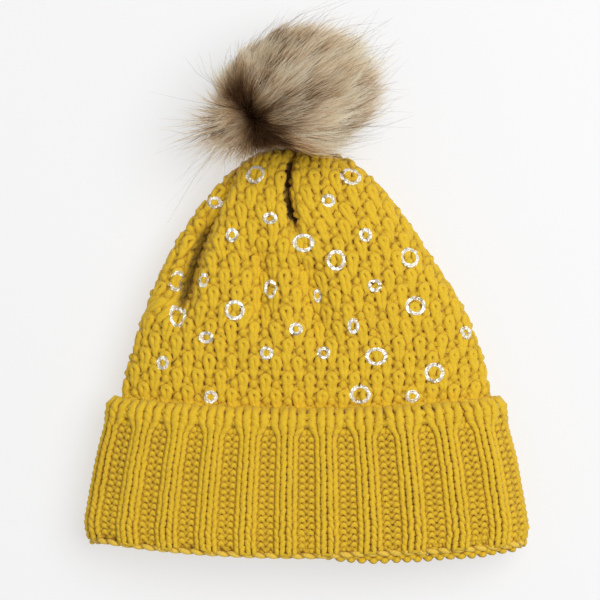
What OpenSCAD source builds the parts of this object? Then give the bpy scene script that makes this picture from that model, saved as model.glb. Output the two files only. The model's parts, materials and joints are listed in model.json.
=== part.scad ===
// Knit beanie lying flat on its back: a moss-stitch crown drawn together at the top,
// a turned-up rib cuff linked to it along the brim, scattered foil rings and a fur pompom
// that is tied on through the gathered top. X runs across the hat, Y from brim to pompom
// and Z up from the table.

/* [Cuff] */
// Flat width of the cuff at the brim
brim_w = 222; // [200:1:240]
// Flat width of the cuff at its top fold
cuff_top_w = 198; // [185:1:210]
// Height of the turned-up cuff
cuff_h = 74; // [60:1:85]
// Rise of the cuff's corners above the middle of the brim
brim_bow = 5; // [0:0.5:8]
// Ribs round the cuff, half of them on the front
ribs = 22; // [20:2:28]
// Raised knit wales in one rib
rib_knit_wales = 2; // [2:1:4]
// Sunken purl wales between two ribs
rib_purl_wales = 2; // [1:1:3]
// Thickness of one ply of the rib at its purl wales
ply_t = 2.2; // [1.6:0.1:3]
// Height of the knit wales above the purl wales
rib_relief = 1.6; // [0.8:0.1:2.2]
// Slit between the two plies of the folded rib band
ply_slit = 0.5; // [0.4:0.1:1]
// Thickness of the linking chain along the brim
chain_d = 3.2; // [2.4:0.1:4]

/* [Crown] */
// Length of the crown from the brim to the gathered top
crown_len = 206; // [195:1:220]
// Thickness of the crown fabric
crown_t = 3.6; // [2.8:0.1:4.5]
// Half of the crown's thickness where it lies inside the cuff
crown_half_h = 13.5; // [11:0.5:18]
// Extra puff of the crown's front and back between cuff and top
crown_puff = 4; // [2:0.5:5]
// Sideways lean of the gathered top
crown_lean = 4; // [0:0.5:8]
// Radius of the hole that the gather thread leaves at the top
gather_hole_r = 1.6; // [1.3:0.1:2.4]
// Thickness of the gather thread
gather_thread_d = 1.2; // [0.8:0.1:1.6]
// Width of the seam allowance inside the back
seam_w = 5; // [3:0.5:8]
// Thickness of the seam allowance
seam_t = 1.8; // [1:0.1:2.5]

/* [Pompom] */
// Width of the pompom across its tie
pompom_across = 76; // [68:1:86]
// Length of the pompom along its tie
pompom_along = 56; // [50:1:66]
// Thickness of the fur with its backing
fur_t = 18; // [14:1:20]
// Angle of the pompom's tie above the table
tie_angle = 32; // [26:1:36]
// Width of the knot between the crown and the pompom
knot_d = 4.2; // [3.6:0.1:5]
// Thickness of the tie cord
tie_d = 2; // [1.4:0.1:2.4]
// Width of the anchor button inside the crown
button_d = 9; // [7:0.5:10]
// Thickness of the anchor button
button_t = 2; // [1.5:0.1:3]

/* [Foil rings] */
// Outer width of a large foil ring
large_ring_d = 10; // [8:0.5:12]
// Outer width of a small foil ring
small_ring_d = 6.8; // [5:0.1:8]
// Width of the foil band
foil_band = 1.5; // [1:0.1:2]
// Thickness of the foil
foil_t = 0.4; // [0.3:0.1:0.6]

/* [Fit] */
// Space between neighbouring soft pieces
clearance = 0.3; // [0.25:0.05:0.5]
// How deep the back of the cuff is pressed flat by the table
table_press = 0.6; // [0.5:0.1:1]

/* [Hidden] */

mustard = "#D2A62D";
silver = "#D9D9D4";
fur_beige = "#B39A7A";
thread_brown = "#6A5240";
wadding_white = "#EFEDE6";

// Wales round the cuff
wales_per_rib = rib_knit_wales + rib_purl_wales;
cuff_wales = ribs * wales_per_rib;
// Points across each wale, and round the whole cuff
wale_points = 2;
cuff_points = cuff_wales * wale_points;

// Fineness of the skins: points round the crown and the chain, and rows along each piece
$fn = 48;
crown_sides = 80;
crown_steps = 20;
crown_row_crowding = 1.6;
cuff_outer_steps = 7;
cuff_inner_steps = 2;
cuff_row_crowding = 2;
fold_turn = 30;
chain_rings = 96;
chain_sides = 6;
seam_steps = 16;
spheroid_steps = 24;
probe = 0.5;
lift_probes = 12;

// Thickness of the whole folded band, from the crown to the top of a rib
band_t = clearance + 2 * ply_t + ply_slit + rib_relief;

// Heights above the table: the middle of the cuff and the middle of the gathered top
cuff_mid_z = crown_half_h + band_t - table_press;
pompom_half_z = sqrt(pow(pompom_across / 2 * cos(tie_angle), 2) + pow(pompom_along / 2 * sin(tie_angle), 2));
pompom_half_y = sqrt(pow(pompom_across / 2 * sin(tie_angle), 2) + pow(pompom_along / 2 * cos(tie_angle), 2));
// Along the tie from the gathered top: the middle of the knot, the base of the fur and the pompom's centre
knot_reach = (knot_d / 2 + clearance) / cos(tie_angle);
fur_reach = knot_reach + knot_d / 2 + clearance;
tie_reach = fur_reach + pompom_along / 2;
tip_z = pompom_half_z - tie_reach * sin(tie_angle);

// The origin lies under the middle of the whole hat, so the brim's place follows from its length
brim_drop = chain_d + clearance;
overall = brim_drop + crown_len + tie_reach * cos(tie_angle) + pompom_half_y;
brim_y = brim_drop - overall / 2;

// Shape of the crown's outline and of its flattened cross-section
outline_power = 1.3;
closing_power = 7;
front_power = 3;
back_power = 4;
edge_crowding = 0.08;
edge_crowding_power = 9;
lean_run = 80;

// Thickness of the bunched fabric at the gathered top, and how far its rim lies below the hole
top_wall = 3 * crown_t;
gather_dip = crown_t / 4;
// Distance from the gathered top to the upper end of the seam
seam_stop = 6 * crown_t;

// The purl valleys close in an arch under the top fold
arch_share = 0.8;
arch_h = 14;
arch_run = 9;

// Radius of the gathered mouth at the base of the fur
mouth_r = tie_d / 2 + gather_thread_d + 2 * clearance;

// Folds drawn into the front of the crown by the gather. Each has its place across the crown at its
// lower and upper end, the distances of those ends below the gather, its half width and its depth.
folds = [
    [-2, -4, 42, 20, 3.4, 9],
    [-56, -33, 84, 20, 6, 4.5],
    [20, 13, 34, 14, 4, 4],
    [-22, -17, 88, 38, 8, 1.6],
    [2, -4, 98, 44, 9, 1.8]
];
fold_fade = 14;

// Foil rings lie between the cuff and the stretch below the gather that the fur hides
ring_margin = 3;
fur_cover = 10;
ring_first = cuff_h + large_ring_d / 2 + ring_margin;
ring_last = crown_len - large_ring_d / 2 - fur_cover;
// Places of the rings on the front: share of the half width and share of the way from cuff to gather
front_large_rings = [
    [-0.63, 1.00], [0.74, 0.99], [0.04, 0.69], [0.28, 0.61], [0.84, 0.61], [-0.88, 0.50],
    [-0.21, 0.48], [-0.44, 0.38], [0.71, 0.39], [-0.79, 0.33], [0.40, 0.17], [0.71, 0.08],
    [0.29, 0.00]
];
front_small_rings = [
    [0.32, 0.88], [-0.84, 0.87], [-0.27, 0.80], [-0.57, 0.72], [0.57, 0.72], [-0.70, 0.51],
    [0.50, 0.49], [0.10, 0.45], [-0.06, 0.30], [0.29, 0.31], [-0.59, 0.25], [0.95, 0.25],
    [0.10, 0.19], [-0.23, 0.19], [-0.81, 0.12], [-0.52, -0.02], [0.57, -0.02]
];
// Rings on the back are scattered: each step moves by a golden share of the width and the length
back_ring_pairs = 12;
back_ring_start = 5;
back_edge = 2 * large_ring_d;
step_across = 0.618;
step_along = 0.7321;

function mix(a, b, k) = a + (b - a) * k;
function clamp(v) = max(0, min(1, v));
function smooth(v) = let(k = clamp(v)) k * k * (3 - 2 * k);

// How far along the free crown a distance from the brim lies, 0 at the cuff's top and 1 at the gather
function crown_share(s) = clamp((s - cuff_h) / (crown_len - cuff_h));

// Half width, half thickness and middle height of the crown's outer face
function crown_half_w(s) =
    let(cuff_half = mix(brim_w, cuff_top_w, clamp(s / cuff_h)) / 2 - band_t)
    cuff_half * sqrt(1 - pow(crown_share(s), outline_power));
function crown_half_t(s) =
    let(t = crown_share(s))
    crown_half_h * sqrt(1 - pow(t, closing_power)) + crown_puff * sin(180 * t);
function mid_z(s) = mix(cuff_mid_z, tip_z, smooth(crown_share(s)));
function lean_x(s) = -crown_lean * smooth((s - cuff_h) / lean_run);
function bow(s, share) = brim_bow * pow(share, 2) * (1 - crown_share(s));

// Place across the flattened loop, -1 to 1, for a turn round it: the front, then the back
function across(u) =
    let(q = u < 0.5 ? 4 * u - 1 : 3 - 4 * u)
    q * (1 + edge_crowding - edge_crowding * pow(abs(q), edge_crowding_power - 1));
function rise(u, share) =
    let(front = u < 0.5)
    (front ? 1 : -1) * pow(max(0, 1 - pow(abs(share), front ? front_power : back_power)), 0.5);

// Depth of the gathered folds at a place on the front. They fade in below their lower ends
// and are gone where the bunched top begins.
function fold_depth(x, s) =
    let(
        below = crown_len - s,
        depths = [for (f = folds)
            let(centre = lean_x(s) + mix(f[0], f[1], clamp((f[2] - below) / (f[2] - f[3]))))
            f[5] * exp(-pow((x - centre) / f[4], 2)) * smooth((f[2] - below + fold_fade) / (2 * fold_fade))]
    )
    smooth((below - top_wall) / fold_fade) * (depths * [for (f = folds) 1]);

// A point on the crown's outer face, or offset from it. The folds press the front only.
function hat_point(u, s, offset) =
    let(
        share = across(u),
        x = lean_x(s) + (crown_half_w(s) + offset) * share,
        dent = u < 0.5 ? fold_depth(x, s) * (1 - pow(abs(share), 2)) : 0,
        z = mid_z(s) + (crown_half_t(s) + offset) * rise(u, share) - dent
    )
    [x, brim_y + s + bow(s, share), max(0, z)];

// Front or back face of the crown under or over a place in the plan
function face_point(x, s, front, offset = 0) =
    let(
        share = (x - lean_x(s)) / crown_half_w(s),
        h = pow(max(0, 1 - pow(abs(share), front ? front_power : back_power)), 0.5),
        dent = front ? fold_depth(x, s) * (1 - pow(abs(share), 2)) : 0,
        side = front ? 1 : -1
    )
    [x, brim_y + s + bow(s, share), mid_z(s) + side * ((crown_half_t(s) + offset) * h) - dent];
function face_normal(x, s, front) =
    let(
        dx = face_point(x + probe, s, front) - face_point(x - probe, s, front),
        dy = face_point(x, s + probe, front) - face_point(x, s - probe, front),
        n = cross(dx, dy)
    )
    (front ? 1 : -1) * n / norm(n);

// A closed skin over rows of points. Each row is a loop, and the last row joins the first.
module ring_solid(rows) {
    m = len(rows);
    n = len(rows[0]);
    points = [for (row = rows) each row];
    faces = [for (i = [0 : m - 1], j = [0 : n - 1])
        let(
            a = i * n + j,
            b = i * n + (j + 1) % n,
            c = ((i + 1) % m) * n + (j + 1) % n,
            d = ((i + 1) % m) * n + j
        )
        each [[a, b, c], [a, c, d]]];
    polyhedron(points = points, faces = faces, convexity = 8);
}

// Distances from the brim at which the crown is cut, closer together towards the gather
function crown_stations(last) =
    [for (i = [0 : crown_steps]) last * (1 - pow(1 - i / crown_steps, crown_row_crowding))];

// The knitted crown, a tube from the brim to the small hole that the gather thread leaves
module crown_shell() {
    turns = [for (j = [0 : crown_sides - 1]) (j + 0.5) / crown_sides];
    function skin(last, offset) = [for (s = crown_stations(last)) [for (u = turns) hat_point(u, s, offset)]];
    function hole_row(s) = [for (u = turns)
        let(p = across(u), h = sqrt(max(0, 1 - p * p)))
        [lean_x(crown_len) + gather_hole_r * p, brim_y + s, tip_z + gather_hole_r * (u < 0.5 ? h : -h)]];
    inner = skin(crown_len - top_wall, -crown_t);
    rows = concat(
        skin(crown_len - gather_dip, 0),
        [hole_row(crown_len), hole_row(crown_len - top_wall)],
        [for (i = [crown_steps : -1 : 0]) inner[i]]
    );
    color(mustard) ring_solid(rows);
}

// Height of the rib surface over its purl wales: the knit wales of a rib stand up in a round,
// and the valleys of the purl wales close in an arch under the top fold
function wale_relief(w, s) =
    let(
        k = w % wales_per_rib,
        aside = 2 * k / rib_knit_wales - 1,
        arch = arch_share * smooth((s - cuff_h + arch_h) / arch_run)
    )
    rib_relief * (k < rib_knit_wales ? max(arch, sqrt(1 - aside * aside)) : arch);

// The rib band, knitted flat, folded double at its top and open at the brim
module cuff_band() {
    inner_face = clearance;
    inner_back = inner_face + ply_t;
    outer_back = inner_back + ply_slit;
    outer_face = outer_back + ply_t;
    fold_r = (outer_face - inner_face) / 2;
    fold_s = cuff_h - fold_r;
    slit_s = cuff_h - ply_t - ply_slit;
    // Each stop has its distance from the brim, its offset from the crown and its share of the rib relief
    stops = concat(
        [for (i = [0 : cuff_outer_steps])
            [fold_s * (1 - pow(1 - i / cuff_outer_steps, cuff_row_crowding)), outer_face, 1]],
        [for (a = [fold_turn : fold_turn : 180 - fold_turn])
            [fold_s + fold_r * sin(a), inner_face + fold_r * (1 + cos(a)), max(0, cos(a))]],
        [for (i = [cuff_inner_steps : -1 : 0]) [fold_s * i / cuff_inner_steps, inner_face, 0]],
        [[0, inner_back, 0], [slit_s, inner_back, 0], [slit_s, outer_back, 0], [0, outer_back, 0]]
    );
    rows = [for (p = stops) [for (j = [0 : cuff_points - 1])
        hat_point((j + 0.5) / cuff_points, p[0], p[1] + p[2] * wale_relief((j + 0.5) / wale_points, p[0]))]];
    color(mustard) ring_solid(rows);
}

// The linking chain that joins the crown and both plies of the band along the brim
module brim_chain() {
    r = chain_d / 2;
    middle = band_t - rib_relief - ply_t / 2;
    rows = [for (k = [0 : chain_sides - 1])
        let(a = 360 * k / chain_sides, drop = [0, r * sin(a) - r - clearance, 0])
        [for (j = [0 : chain_rings - 1]) hat_point((j + 0.5) / chain_rings, 0, middle + r * cos(a)) + drop]];
    color(mustard) ring_solid(rows);
}

// The seam allowance where the crown's two edges are sewn together, inside the back
module back_seam() {
    first = chain_d;
    last = crown_len - seam_stop;
    lift = crown_t + clearance;
    function seam_row(side, h) = [for (i = [0 : seam_steps])
        let(s = mix(first, last, i / seam_steps), x = lean_x(s) + side * seam_w / 2)
        face_point(x, s, false, -lift) + [0, 0, h]];
    rows = [seam_row(-1, 0), seam_row(1, 0), seam_row(1, seam_t), seam_row(-1, seam_t)];
    n = seam_steps + 1;
    sides = [for (k = [0 : 3], i = [0 : seam_steps - 1])
        let(a = k * n + i, b = ((k + 1) % 4) * n + i)
        each [[a, a + 1, b + 1], [a, b + 1, b]]];
    ends = [[0, n, 2 * n], [0, 2 * n, 3 * n],
        [n - 1, 4 * n - 1, 3 * n - 1], [n - 1, 3 * n - 1, 2 * n - 1]];
    color(mustard) polyhedron(points = [for (r = rows) each r], faces = concat(sides, ends), convexity = 4);
}

// The drawn-up thread that lies round the hole at the top of the crown
module gather_thread() {
    ring_r = knot_d / 2 + knot_reach * sin(tie_angle) + clearance + gather_thread_d / 2;
    color(mustard) at_tip(0) translate([0, 0, clearance + gather_thread_d / 2])
        rotate_extrude() translate([ring_r, 0]) circle(d = gather_thread_d);
}

// Places a child at the gathered top, with its Z along the tie: 0 along the crown, 1 along the pompom
module at_tip(k) {
    translate([lean_x(crown_len), brim_y + crown_len, tip_z]) rotate([-90 + k * tie_angle, 0, 0]) children();
}

// How far the crown rises over the plane of a flat ring that touches it at its middle
function ring_lift(x, s, d, front, n) =
    let(middle = face_point(x, s, front))
    max([for (k = [1 : lift_probes])
        let(a = 360 * k / lift_probes)
        (face_point(x + d / 2 * cos(a), s + d / 2 * sin(a), front) - middle) * n]);

// One foil ring pressed flat on the crown
module foil_ring(x, s, d, front) {
    n = face_normal(x, s, front);
    lift = clearance + max(0, ring_lift(x, s, d, front, n));
    translate(face_point(x, s, front) + lift * n)
        rotate([0, acos(n[2]), atan2(n[1], n[0])])
            difference() {
                cylinder(d = d, h = foil_t);
                translate([0, 0, -foil_t]) cylinder(d = d - 2 * foil_band, h = 3 * foil_t);
            }
}
module front_rings(places, d) {
    color(silver) for (p = places) {
        s = mix(ring_first, ring_last, p[1]);
        foil_ring(lean_x(s) + crown_half_w(s) * p[0], s, d, true);
    }
}
module foil_rings_front_large() { front_rings(front_large_rings, large_ring_d); }
module foil_rings_front_small() { front_rings(front_small_rings, small_ring_d); }
// A run of scattered places on the back, kept away from the crown's side edges
module back_rings(d, first) {
    color(silver) for (i = [first : first + back_ring_pairs - 1]) {
        s = mix(ring_first, ring_last, (i * step_along) % 1);
        reach = crown_half_w(s) - back_edge;
        foil_ring(lean_x(s) + reach * (2 * ((i * step_across) % 1) - 1), s, d, false);
    }
}
module foil_rings_back_large() { back_rings(large_ring_d, back_ring_start); }
module foil_rings_back_small() { back_rings(small_ring_d, back_ring_start + back_ring_pairs); }

// The button inside the crown that keeps the tie from pulling through
module anchor_button() {
    color(thread_brown) at_tip(0) translate([0, 0, -top_wall - clearance - button_t]) difference() {
        cylinder(d = button_d, h = button_t);
        translate([0, 0, -button_t]) cylinder(d = tie_d + 2 * clearance, h = 3 * button_t);
    }
}

// The tie inside the crown, from its knot under the button to the top of the gather hole
module anchor_cord() {
    under = top_wall + 2 * clearance + button_t;
    color(thread_brown) at_tip(0) {
        translate([0, 0, -under]) cylinder(d = tie_d, h = under);
        translate([0, 0, -under - tie_d]) cylinder(d = 2 * tie_d, h = tie_d);
    }
}

// The knot between crown and pompom, on which the pompom flops
module tie_knot() {
    color(thread_brown) at_tip(1) translate([0, 0, knot_reach]) sphere(d = knot_d);
}

// Half outline of a spheroid about the tie, for the fur and for its stuffing
function half_spheroid(a, c, from, to) = [for (i = [0 : spheroid_steps])
    let(t = mix(from, to, i / spheroid_steps)) [a * cos(t), c * sin(t)]];

// Places a child at the pompom's centre, with its Z along the tie
module at_pompom() {
    at_tip(1) translate([0, 0, tie_reach]) children();
}

// The fur, a round of pile drawn up round the stuffing
module pompom_fur() {
    a = pompom_across / 2;
    c = pompom_along / 2;
    outer = half_spheroid(a, c, -acos(mouth_r / a), 90);
    inner = half_spheroid(a - fur_t, c - fur_t, 90, -acos(mouth_r / (a - fur_t)));
    color(fur_beige) at_pompom() rotate_extrude() polygon(concat(outer, inner));
}

// The wadding inside the fur
module pompom_stuffing() {
    a = pompom_across / 2 - fur_t - clearance;
    c = pompom_along / 2 - fur_t - clearance;
    color(wadding_white) at_pompom() rotate_extrude() polygon(half_spheroid(a, c, -90, 90));
}

// The thread that draws the mouth of the fur together
module pompom_draw_thread() {
    ring_r = mouth_r - clearance - gather_thread_d / 2;
    color(thread_brown) at_pompom() translate([0, 0, -pompom_along / 2 + fur_t / 2])
        rotate_extrude() translate([ring_r, 0]) circle(d = gather_thread_d);
}

// The end of the tie inside the pompom, from the knot to the stuffing
module pompom_cord() {
    color(thread_brown) at_tip(1) translate([0, 0, fur_reach]) cylinder(d = tie_d, h = fur_t);
}

crown_shell();
cuff_band();
brim_chain();
gather_thread();
back_seam();
foil_rings_front_large();
foil_rings_front_small();
foil_rings_back_large();
foil_rings_back_small();
anchor_button();
anchor_cord();
tie_knot();
pompom_fur();
pompom_stuffing();
pompom_draw_thread();
pompom_cord();
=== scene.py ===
"""Knit beanie: yarn-level knitting on the hat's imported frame, foil rings and a fur pompom."""
import json
import math
import bmesh
import bpy
import numpy as np
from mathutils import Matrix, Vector, noise

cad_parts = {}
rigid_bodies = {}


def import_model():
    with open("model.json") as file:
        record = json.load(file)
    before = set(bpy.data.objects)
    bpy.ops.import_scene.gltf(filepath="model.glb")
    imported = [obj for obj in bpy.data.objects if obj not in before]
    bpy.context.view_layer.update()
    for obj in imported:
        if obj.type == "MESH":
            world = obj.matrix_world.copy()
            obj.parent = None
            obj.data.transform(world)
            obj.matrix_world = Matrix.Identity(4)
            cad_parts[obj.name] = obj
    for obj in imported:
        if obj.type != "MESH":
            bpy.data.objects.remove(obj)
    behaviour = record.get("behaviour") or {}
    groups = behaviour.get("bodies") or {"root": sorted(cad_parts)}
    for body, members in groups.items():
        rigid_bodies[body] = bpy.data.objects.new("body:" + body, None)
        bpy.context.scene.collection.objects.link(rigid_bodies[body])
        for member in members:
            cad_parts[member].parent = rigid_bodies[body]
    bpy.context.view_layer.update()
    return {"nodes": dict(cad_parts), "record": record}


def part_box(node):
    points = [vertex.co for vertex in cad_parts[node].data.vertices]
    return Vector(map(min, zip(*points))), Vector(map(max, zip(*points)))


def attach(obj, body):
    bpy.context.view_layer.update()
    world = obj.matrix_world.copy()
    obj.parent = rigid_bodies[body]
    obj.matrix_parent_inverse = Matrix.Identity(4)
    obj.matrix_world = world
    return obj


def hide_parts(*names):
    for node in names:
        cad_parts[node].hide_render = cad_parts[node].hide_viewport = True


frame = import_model()
scene = bpy.context.scene

# Hat sizes in metres, the same as the solids
BRIM_WIDTH = 0.222
CUFF_TOP_WIDTH = 0.198
CUFF_HEIGHT = 0.074
BRIM_BOW = 0.005
RIBS = 22
RIB_KNIT_WALES = 2
RIB_PURL_WALES = 2
PLY_THICKNESS = 0.0022
RIB_RELIEF = 0.0016
PLY_SLIT = 0.0005
CROWN_LENGTH = 0.206
CROWN_THICKNESS = 0.0036
CROWN_HALF_HEIGHT = 0.0135
CROWN_PUFF = 0.004
CROWN_LEAN = 0.004
LEAN_RUN = 0.080
CLEARANCE = 0.0003
TABLE_PRESS = 0.0006
OUTLINE_POWER = 1.3
CLOSING_POWER = 7
FRONT_POWER = 3
BACK_POWER = 4
BAND_THICKNESS = CLEARANCE + 2 * PLY_THICKNESS + PLY_SLIT + RIB_RELIEF
CUFF_MIDDLE_Z = CROWN_HALF_HEIGHT + BAND_THICKNESS - TABLE_PRESS

# Places taken from the frame: the tie's pivot, the gathered top and the brim
PIVOT = next(j for j in frame["record"]["behaviour"]["joints"] if j["name"] == "pompom_nod")["pos_m"]
TIE_ANGLE = math.radians(32)
TIE_WAY = np.array([0, math.cos(TIE_ANGLE), math.sin(TIE_ANGLE)])
KNOT_REACH = (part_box("tie_knot")[1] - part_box("tie_knot")[0])[0] / 2 + CLEARANCE
TIP_Z = PIVOT[2] - KNOT_REACH * math.tan(TIE_ANGLE)
BRIM_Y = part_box("crown_shell")[1][1] - CROWN_LENGTH

# Folds that the gather draws into the front. Each has its place across the hat at its lower and upper end
# (low, high) and how far it bows between them, the distances of those ends below the gather (start, end), the
# distance at which it has faded out (top, or half of end), the run over which it fades, its half width to the
# left and to the right, how square its walls are, and its depth.
FOLDS = [
    dict(low=-0.0012, high=-0.0015, bow=-0.0036, start=0.041, end=0.0, fade=0.005,
         left=0.0031, right=0.0028, square=5.0, depth=0.017),
    dict(low=-0.0558, high=-0.0290, bow=-0.0012, start=0.080, end=0.010, fade=0.012,
         left=0.0150, right=0.0026, square=3.2, depth=0.0125),
    dict(low=-0.0614, high=-0.0305, bow=-0.0012, start=0.086, end=0.010, top=0.034, fade=0.014,
         left=0.0058, right=0.0030, square=4.0, depth=0.0125),
    dict(low=0.0205, high=0.0130, bow=0.0, start=0.011, end=0.001, fade=0.004,
         left=0.0026, right=0.0040, square=2.6, depth=0.0085),
    dict(low=-0.022, high=-0.017, bow=0.0, start=0.088, end=0.038, top=0.046, fade=0.012,
         left=0.006, right=0.006, square=2.0, depth=0.0060),
    dict(low=0.0075, high=0.001, bow=0.0, start=0.098, end=0.050, top=0.052, fade=0.012,
         left=0.008, right=0.008, square=2.0, depth=0.0058),
    dict(low=0.008, high=0.0075, bow=-0.003, start=0.050, end=0.006, fade=0.010,
         left=0.006, right=0.008, square=2.0, depth=-0.0022),
    dict(low=-0.0105, high=-0.011, bow=-0.003, start=0.046, end=0.006, fade=0.010,
         left=0.008, right=0.006, square=2.0, depth=-0.0014),
]
SLIT, LOBE_FOLD, LOBE_CREASE = FOLDS[:3]
VALLEYS = FOLDS[4:6]

# Knit gauges
CROWN_WALE = 0.0055
CROWN_COURSE = 0.0042
CROWN_YARN = 0.00164
CROWN_WALES = 38
CROWN_COURSES = 34
CUFF_COURSE = 0.00335
CUFF_YARN = 0.00134
CUFF_COURSES = 24
HEM_WALES = 40
HEM_COURSES = 5
FACE_WALES = RIBS * (RIB_KNIT_WALES + RIB_PURL_WALES) // 2
CUFF_WALES = FACE_WALES + 3
MAP_SPAN = 80.0  # stitches across the whole of a stitch map
MAP_ORIGIN = (0.5, 0.1)  # where wale 0 and course 0 lie on it
MAP_BREAK = 0.6  # wales; a face over a wider step is a break in the map

# How the soft outline settles: fuller on the cuff, drawn in at the brim, below the fold and at the shoulders,
# swayed to one side above the cuff, and notched at the gather where the slit ends
BELLY, BELLY_TOP, BELLY_RUN = 0.0022, 0.069, 0.03
BRIM_DRAWN, BRIM_RUN = 0.0032, 0.012
FOLD_DRAWN, FOLD_LOW, FOLD_RUN = 0.0012, 0.070, 0.008
SHOULDER_DRAWN, SHOULDER_LOW, SHOULDER_RUN, SHOULDER_END = 0.0022, 0.115, 0.045, 8
SIDE_SWAY, SIDE_MIDDLE, SIDE_REACH = 0.0016, 0.119, 0.025
NOTCH, NOTCH_REACH, NOTCH_LOW, NOTCH_RUN, NOTCH_FRONT = 0.004, 0.004, 0.186, 0.02, 0.4
DEEPEST_FOLD = 1.25  # of the crown's half thickness
# How the brim's edge lies: the front rises, most at both ends, and the back hangs lower at the right
EDGE_RUN = 0.04
FRONT_RISE, FRONT_CURVE, RIGHT_RISE, RIGHT_FALL = 0.0013, 0.0022, 0.0009, 0.0034
BACK_CURVE, BACK_HANG = 0.0015, 0.0020
ANGLE_CROWDING = 1.5  # how much closer angles stand at a face's middle, where the loop runs on fastest
ROW_SAMPLES = 3000  # points from which an evenly spaced row is made


def smooth(v):
    """Smooth rise from 0 at 0 to 1 at 1."""
    k = np.clip(v, 0, 1)
    return k * k * (3 - 2 * k)


def mix(a, b, k):
    return a + (b - a) * k


def bump(s, middle, reach):
    """Bell curve, 1 at its middle."""
    return np.exp(-((s - middle) / reach) ** 2)


def crown_share(s):
    """How far along the free crown a distance from the brim lies, 0 at the cuff's top and 1 at the gather."""
    return np.clip((s - CUFF_HEIGHT) / (CROWN_LENGTH - CUFF_HEIGHT), 0, 1)


def half_width(s):
    """Half width of the crown as it lies, a little fuller at the cuff and drawn in towards the top."""
    cuff_half = mix(BRIM_WIDTH, CUFF_TOP_WIDTH, np.clip(s / CUFF_HEIGHT, 0, 1)) / 2 - BAND_THICKNESS
    settled = BELLY * smooth((BELLY_TOP - s) / BELLY_RUN)
    settled -= BRIM_DRAWN * (1 - smooth(s / BRIM_RUN)) + FOLD_DRAWN * (1 - smooth((s - FOLD_LOW) / FOLD_RUN))
    settled -= SHOULDER_DRAWN * smooth((s - SHOULDER_LOW) / SHOULDER_RUN) * (1 - crown_share(s) ** SHOULDER_END)
    return cuff_half * np.sqrt(1 - crown_share(s) ** OUTLINE_POWER) + settled


def half_thickness(s):
    """Half height of the crown's section, fullest halfway up."""
    t = crown_share(s)
    return CROWN_HALF_HEIGHT * np.sqrt(1 - t ** CLOSING_POWER) + CROWN_PUFF * np.sin(np.pi * t)


def middle_z(s):
    """Height of the section's middle, which sinks to the gather."""
    return mix(CUFF_MIDDLE_Z, TIP_Z, smooth(crown_share(s)))


def lean(s):
    """How far the section lies to the side."""
    return -CROWN_LEAN * smooth((s - CUFF_HEIGHT) / LEAN_RUN) + SIDE_SWAY * bump(s, SIDE_MIDDLE, SIDE_REACH)


def fold_line(fold, s):
    """Place across the hat of a fold at a distance from the brim."""
    along = np.clip((fold["start"] - (CROWN_LENGTH - s)) / (fold["start"] - fold["end"]), 0, 1)
    return lean(s) + mix(fold["low"], fold["high"], along) + fold["bow"] * np.sin(np.pi * along)


def fold_depth(x, s, folds=FOLDS):
    """Depth of the gathered folds at a place on the front."""
    below = CROWN_LENGTH - s
    depth = np.zeros(np.broadcast(x, s).shape)
    for fold in folds:
        away = x - fold_line(fold, s)
        reach = np.abs(away) / np.where(away < 0, fold["left"], fold["right"])
        fade_in = smooth((fold["start"] - below + fold["fade"]) / (2 * fold["fade"]))
        fade_out = smooth((below - fold.get("top", fold["end"] / 2)) / fold["fade"])
        depth += fold["depth"] * np.exp(-reach ** fold["square"]) * fade_in * fade_out
    return depth


def edge_drop(share, s, front):
    """How far rows bend up from the brim's middle, at shares of the half width."""
    near_brim = 1 - smooth(s / EDGE_RUN)
    right_front = np.where(share > 0, RIGHT_RISE * smooth(share / 0.3) - RIGHT_FALL * share ** 2, 0)
    extra = np.where(front, FRONT_RISE + FRONT_CURVE * share ** 2 + right_front,
                     BACK_CURVE * share ** 2 - BACK_HANG * smooth((share + 0.05) / 0.4))
    return BRIM_BOW * share ** 2 * (1 - crown_share(s)) + extra * near_brim


def hat_section(angle, s, offset, folds=FOLDS):
    """Points of the hat's flattened loop. The angle runs from the front's middle, 90 degrees at the right."""
    sine, cosine = np.sin(angle), np.cos(angle)
    front = cosine >= 0
    share = np.sign(sine) * np.abs(sine) ** (2 / np.where(front, FRONT_POWER, BACK_POWER))
    x = lean(s) + (half_width(s) + offset) * share
    dent = np.where(front, fold_depth(x, s, folds) * (1 - share ** 6), 0)
    dent = np.minimum(dent, DEEPEST_FOLD * half_thickness(s))
    notch = NOTCH * bump(x, fold_line(SLIT, s), NOTCH_REACH) * smooth((s - NOTCH_LOW) / NOTCH_RUN)
    y = BRIM_Y + s + edge_drop(share, s, front) - notch * smooth(cosine / NOTCH_FRONT)
    z = middle_z(s) + (half_thickness(s) + offset) * cosine - dent
    return np.stack(np.broadcast_arrays(x, y, z), axis=-1)


def spread_angles(count, past_edge):
    """Angles over one face of the hat, from edge to edge and past both, closer at its middle."""
    v = np.linspace(-1 - past_edge, 1 + past_edge, count)
    return np.sign(v) * np.abs(v) ** ANGLE_CROWDING * np.pi / 2


def round_angles(columns):
    """Angles round the whole hat, from the left edge over the front."""
    face = spread_angles(columns // 2 + 1, 0)[:-1]
    return np.concatenate([face, np.pi + face])


def run_lengths(points):
    """Distance along a row of points to each of them."""
    return np.concatenate([[0], np.cumsum(np.linalg.norm(np.diff(points, axis=0), axis=1))])


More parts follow.
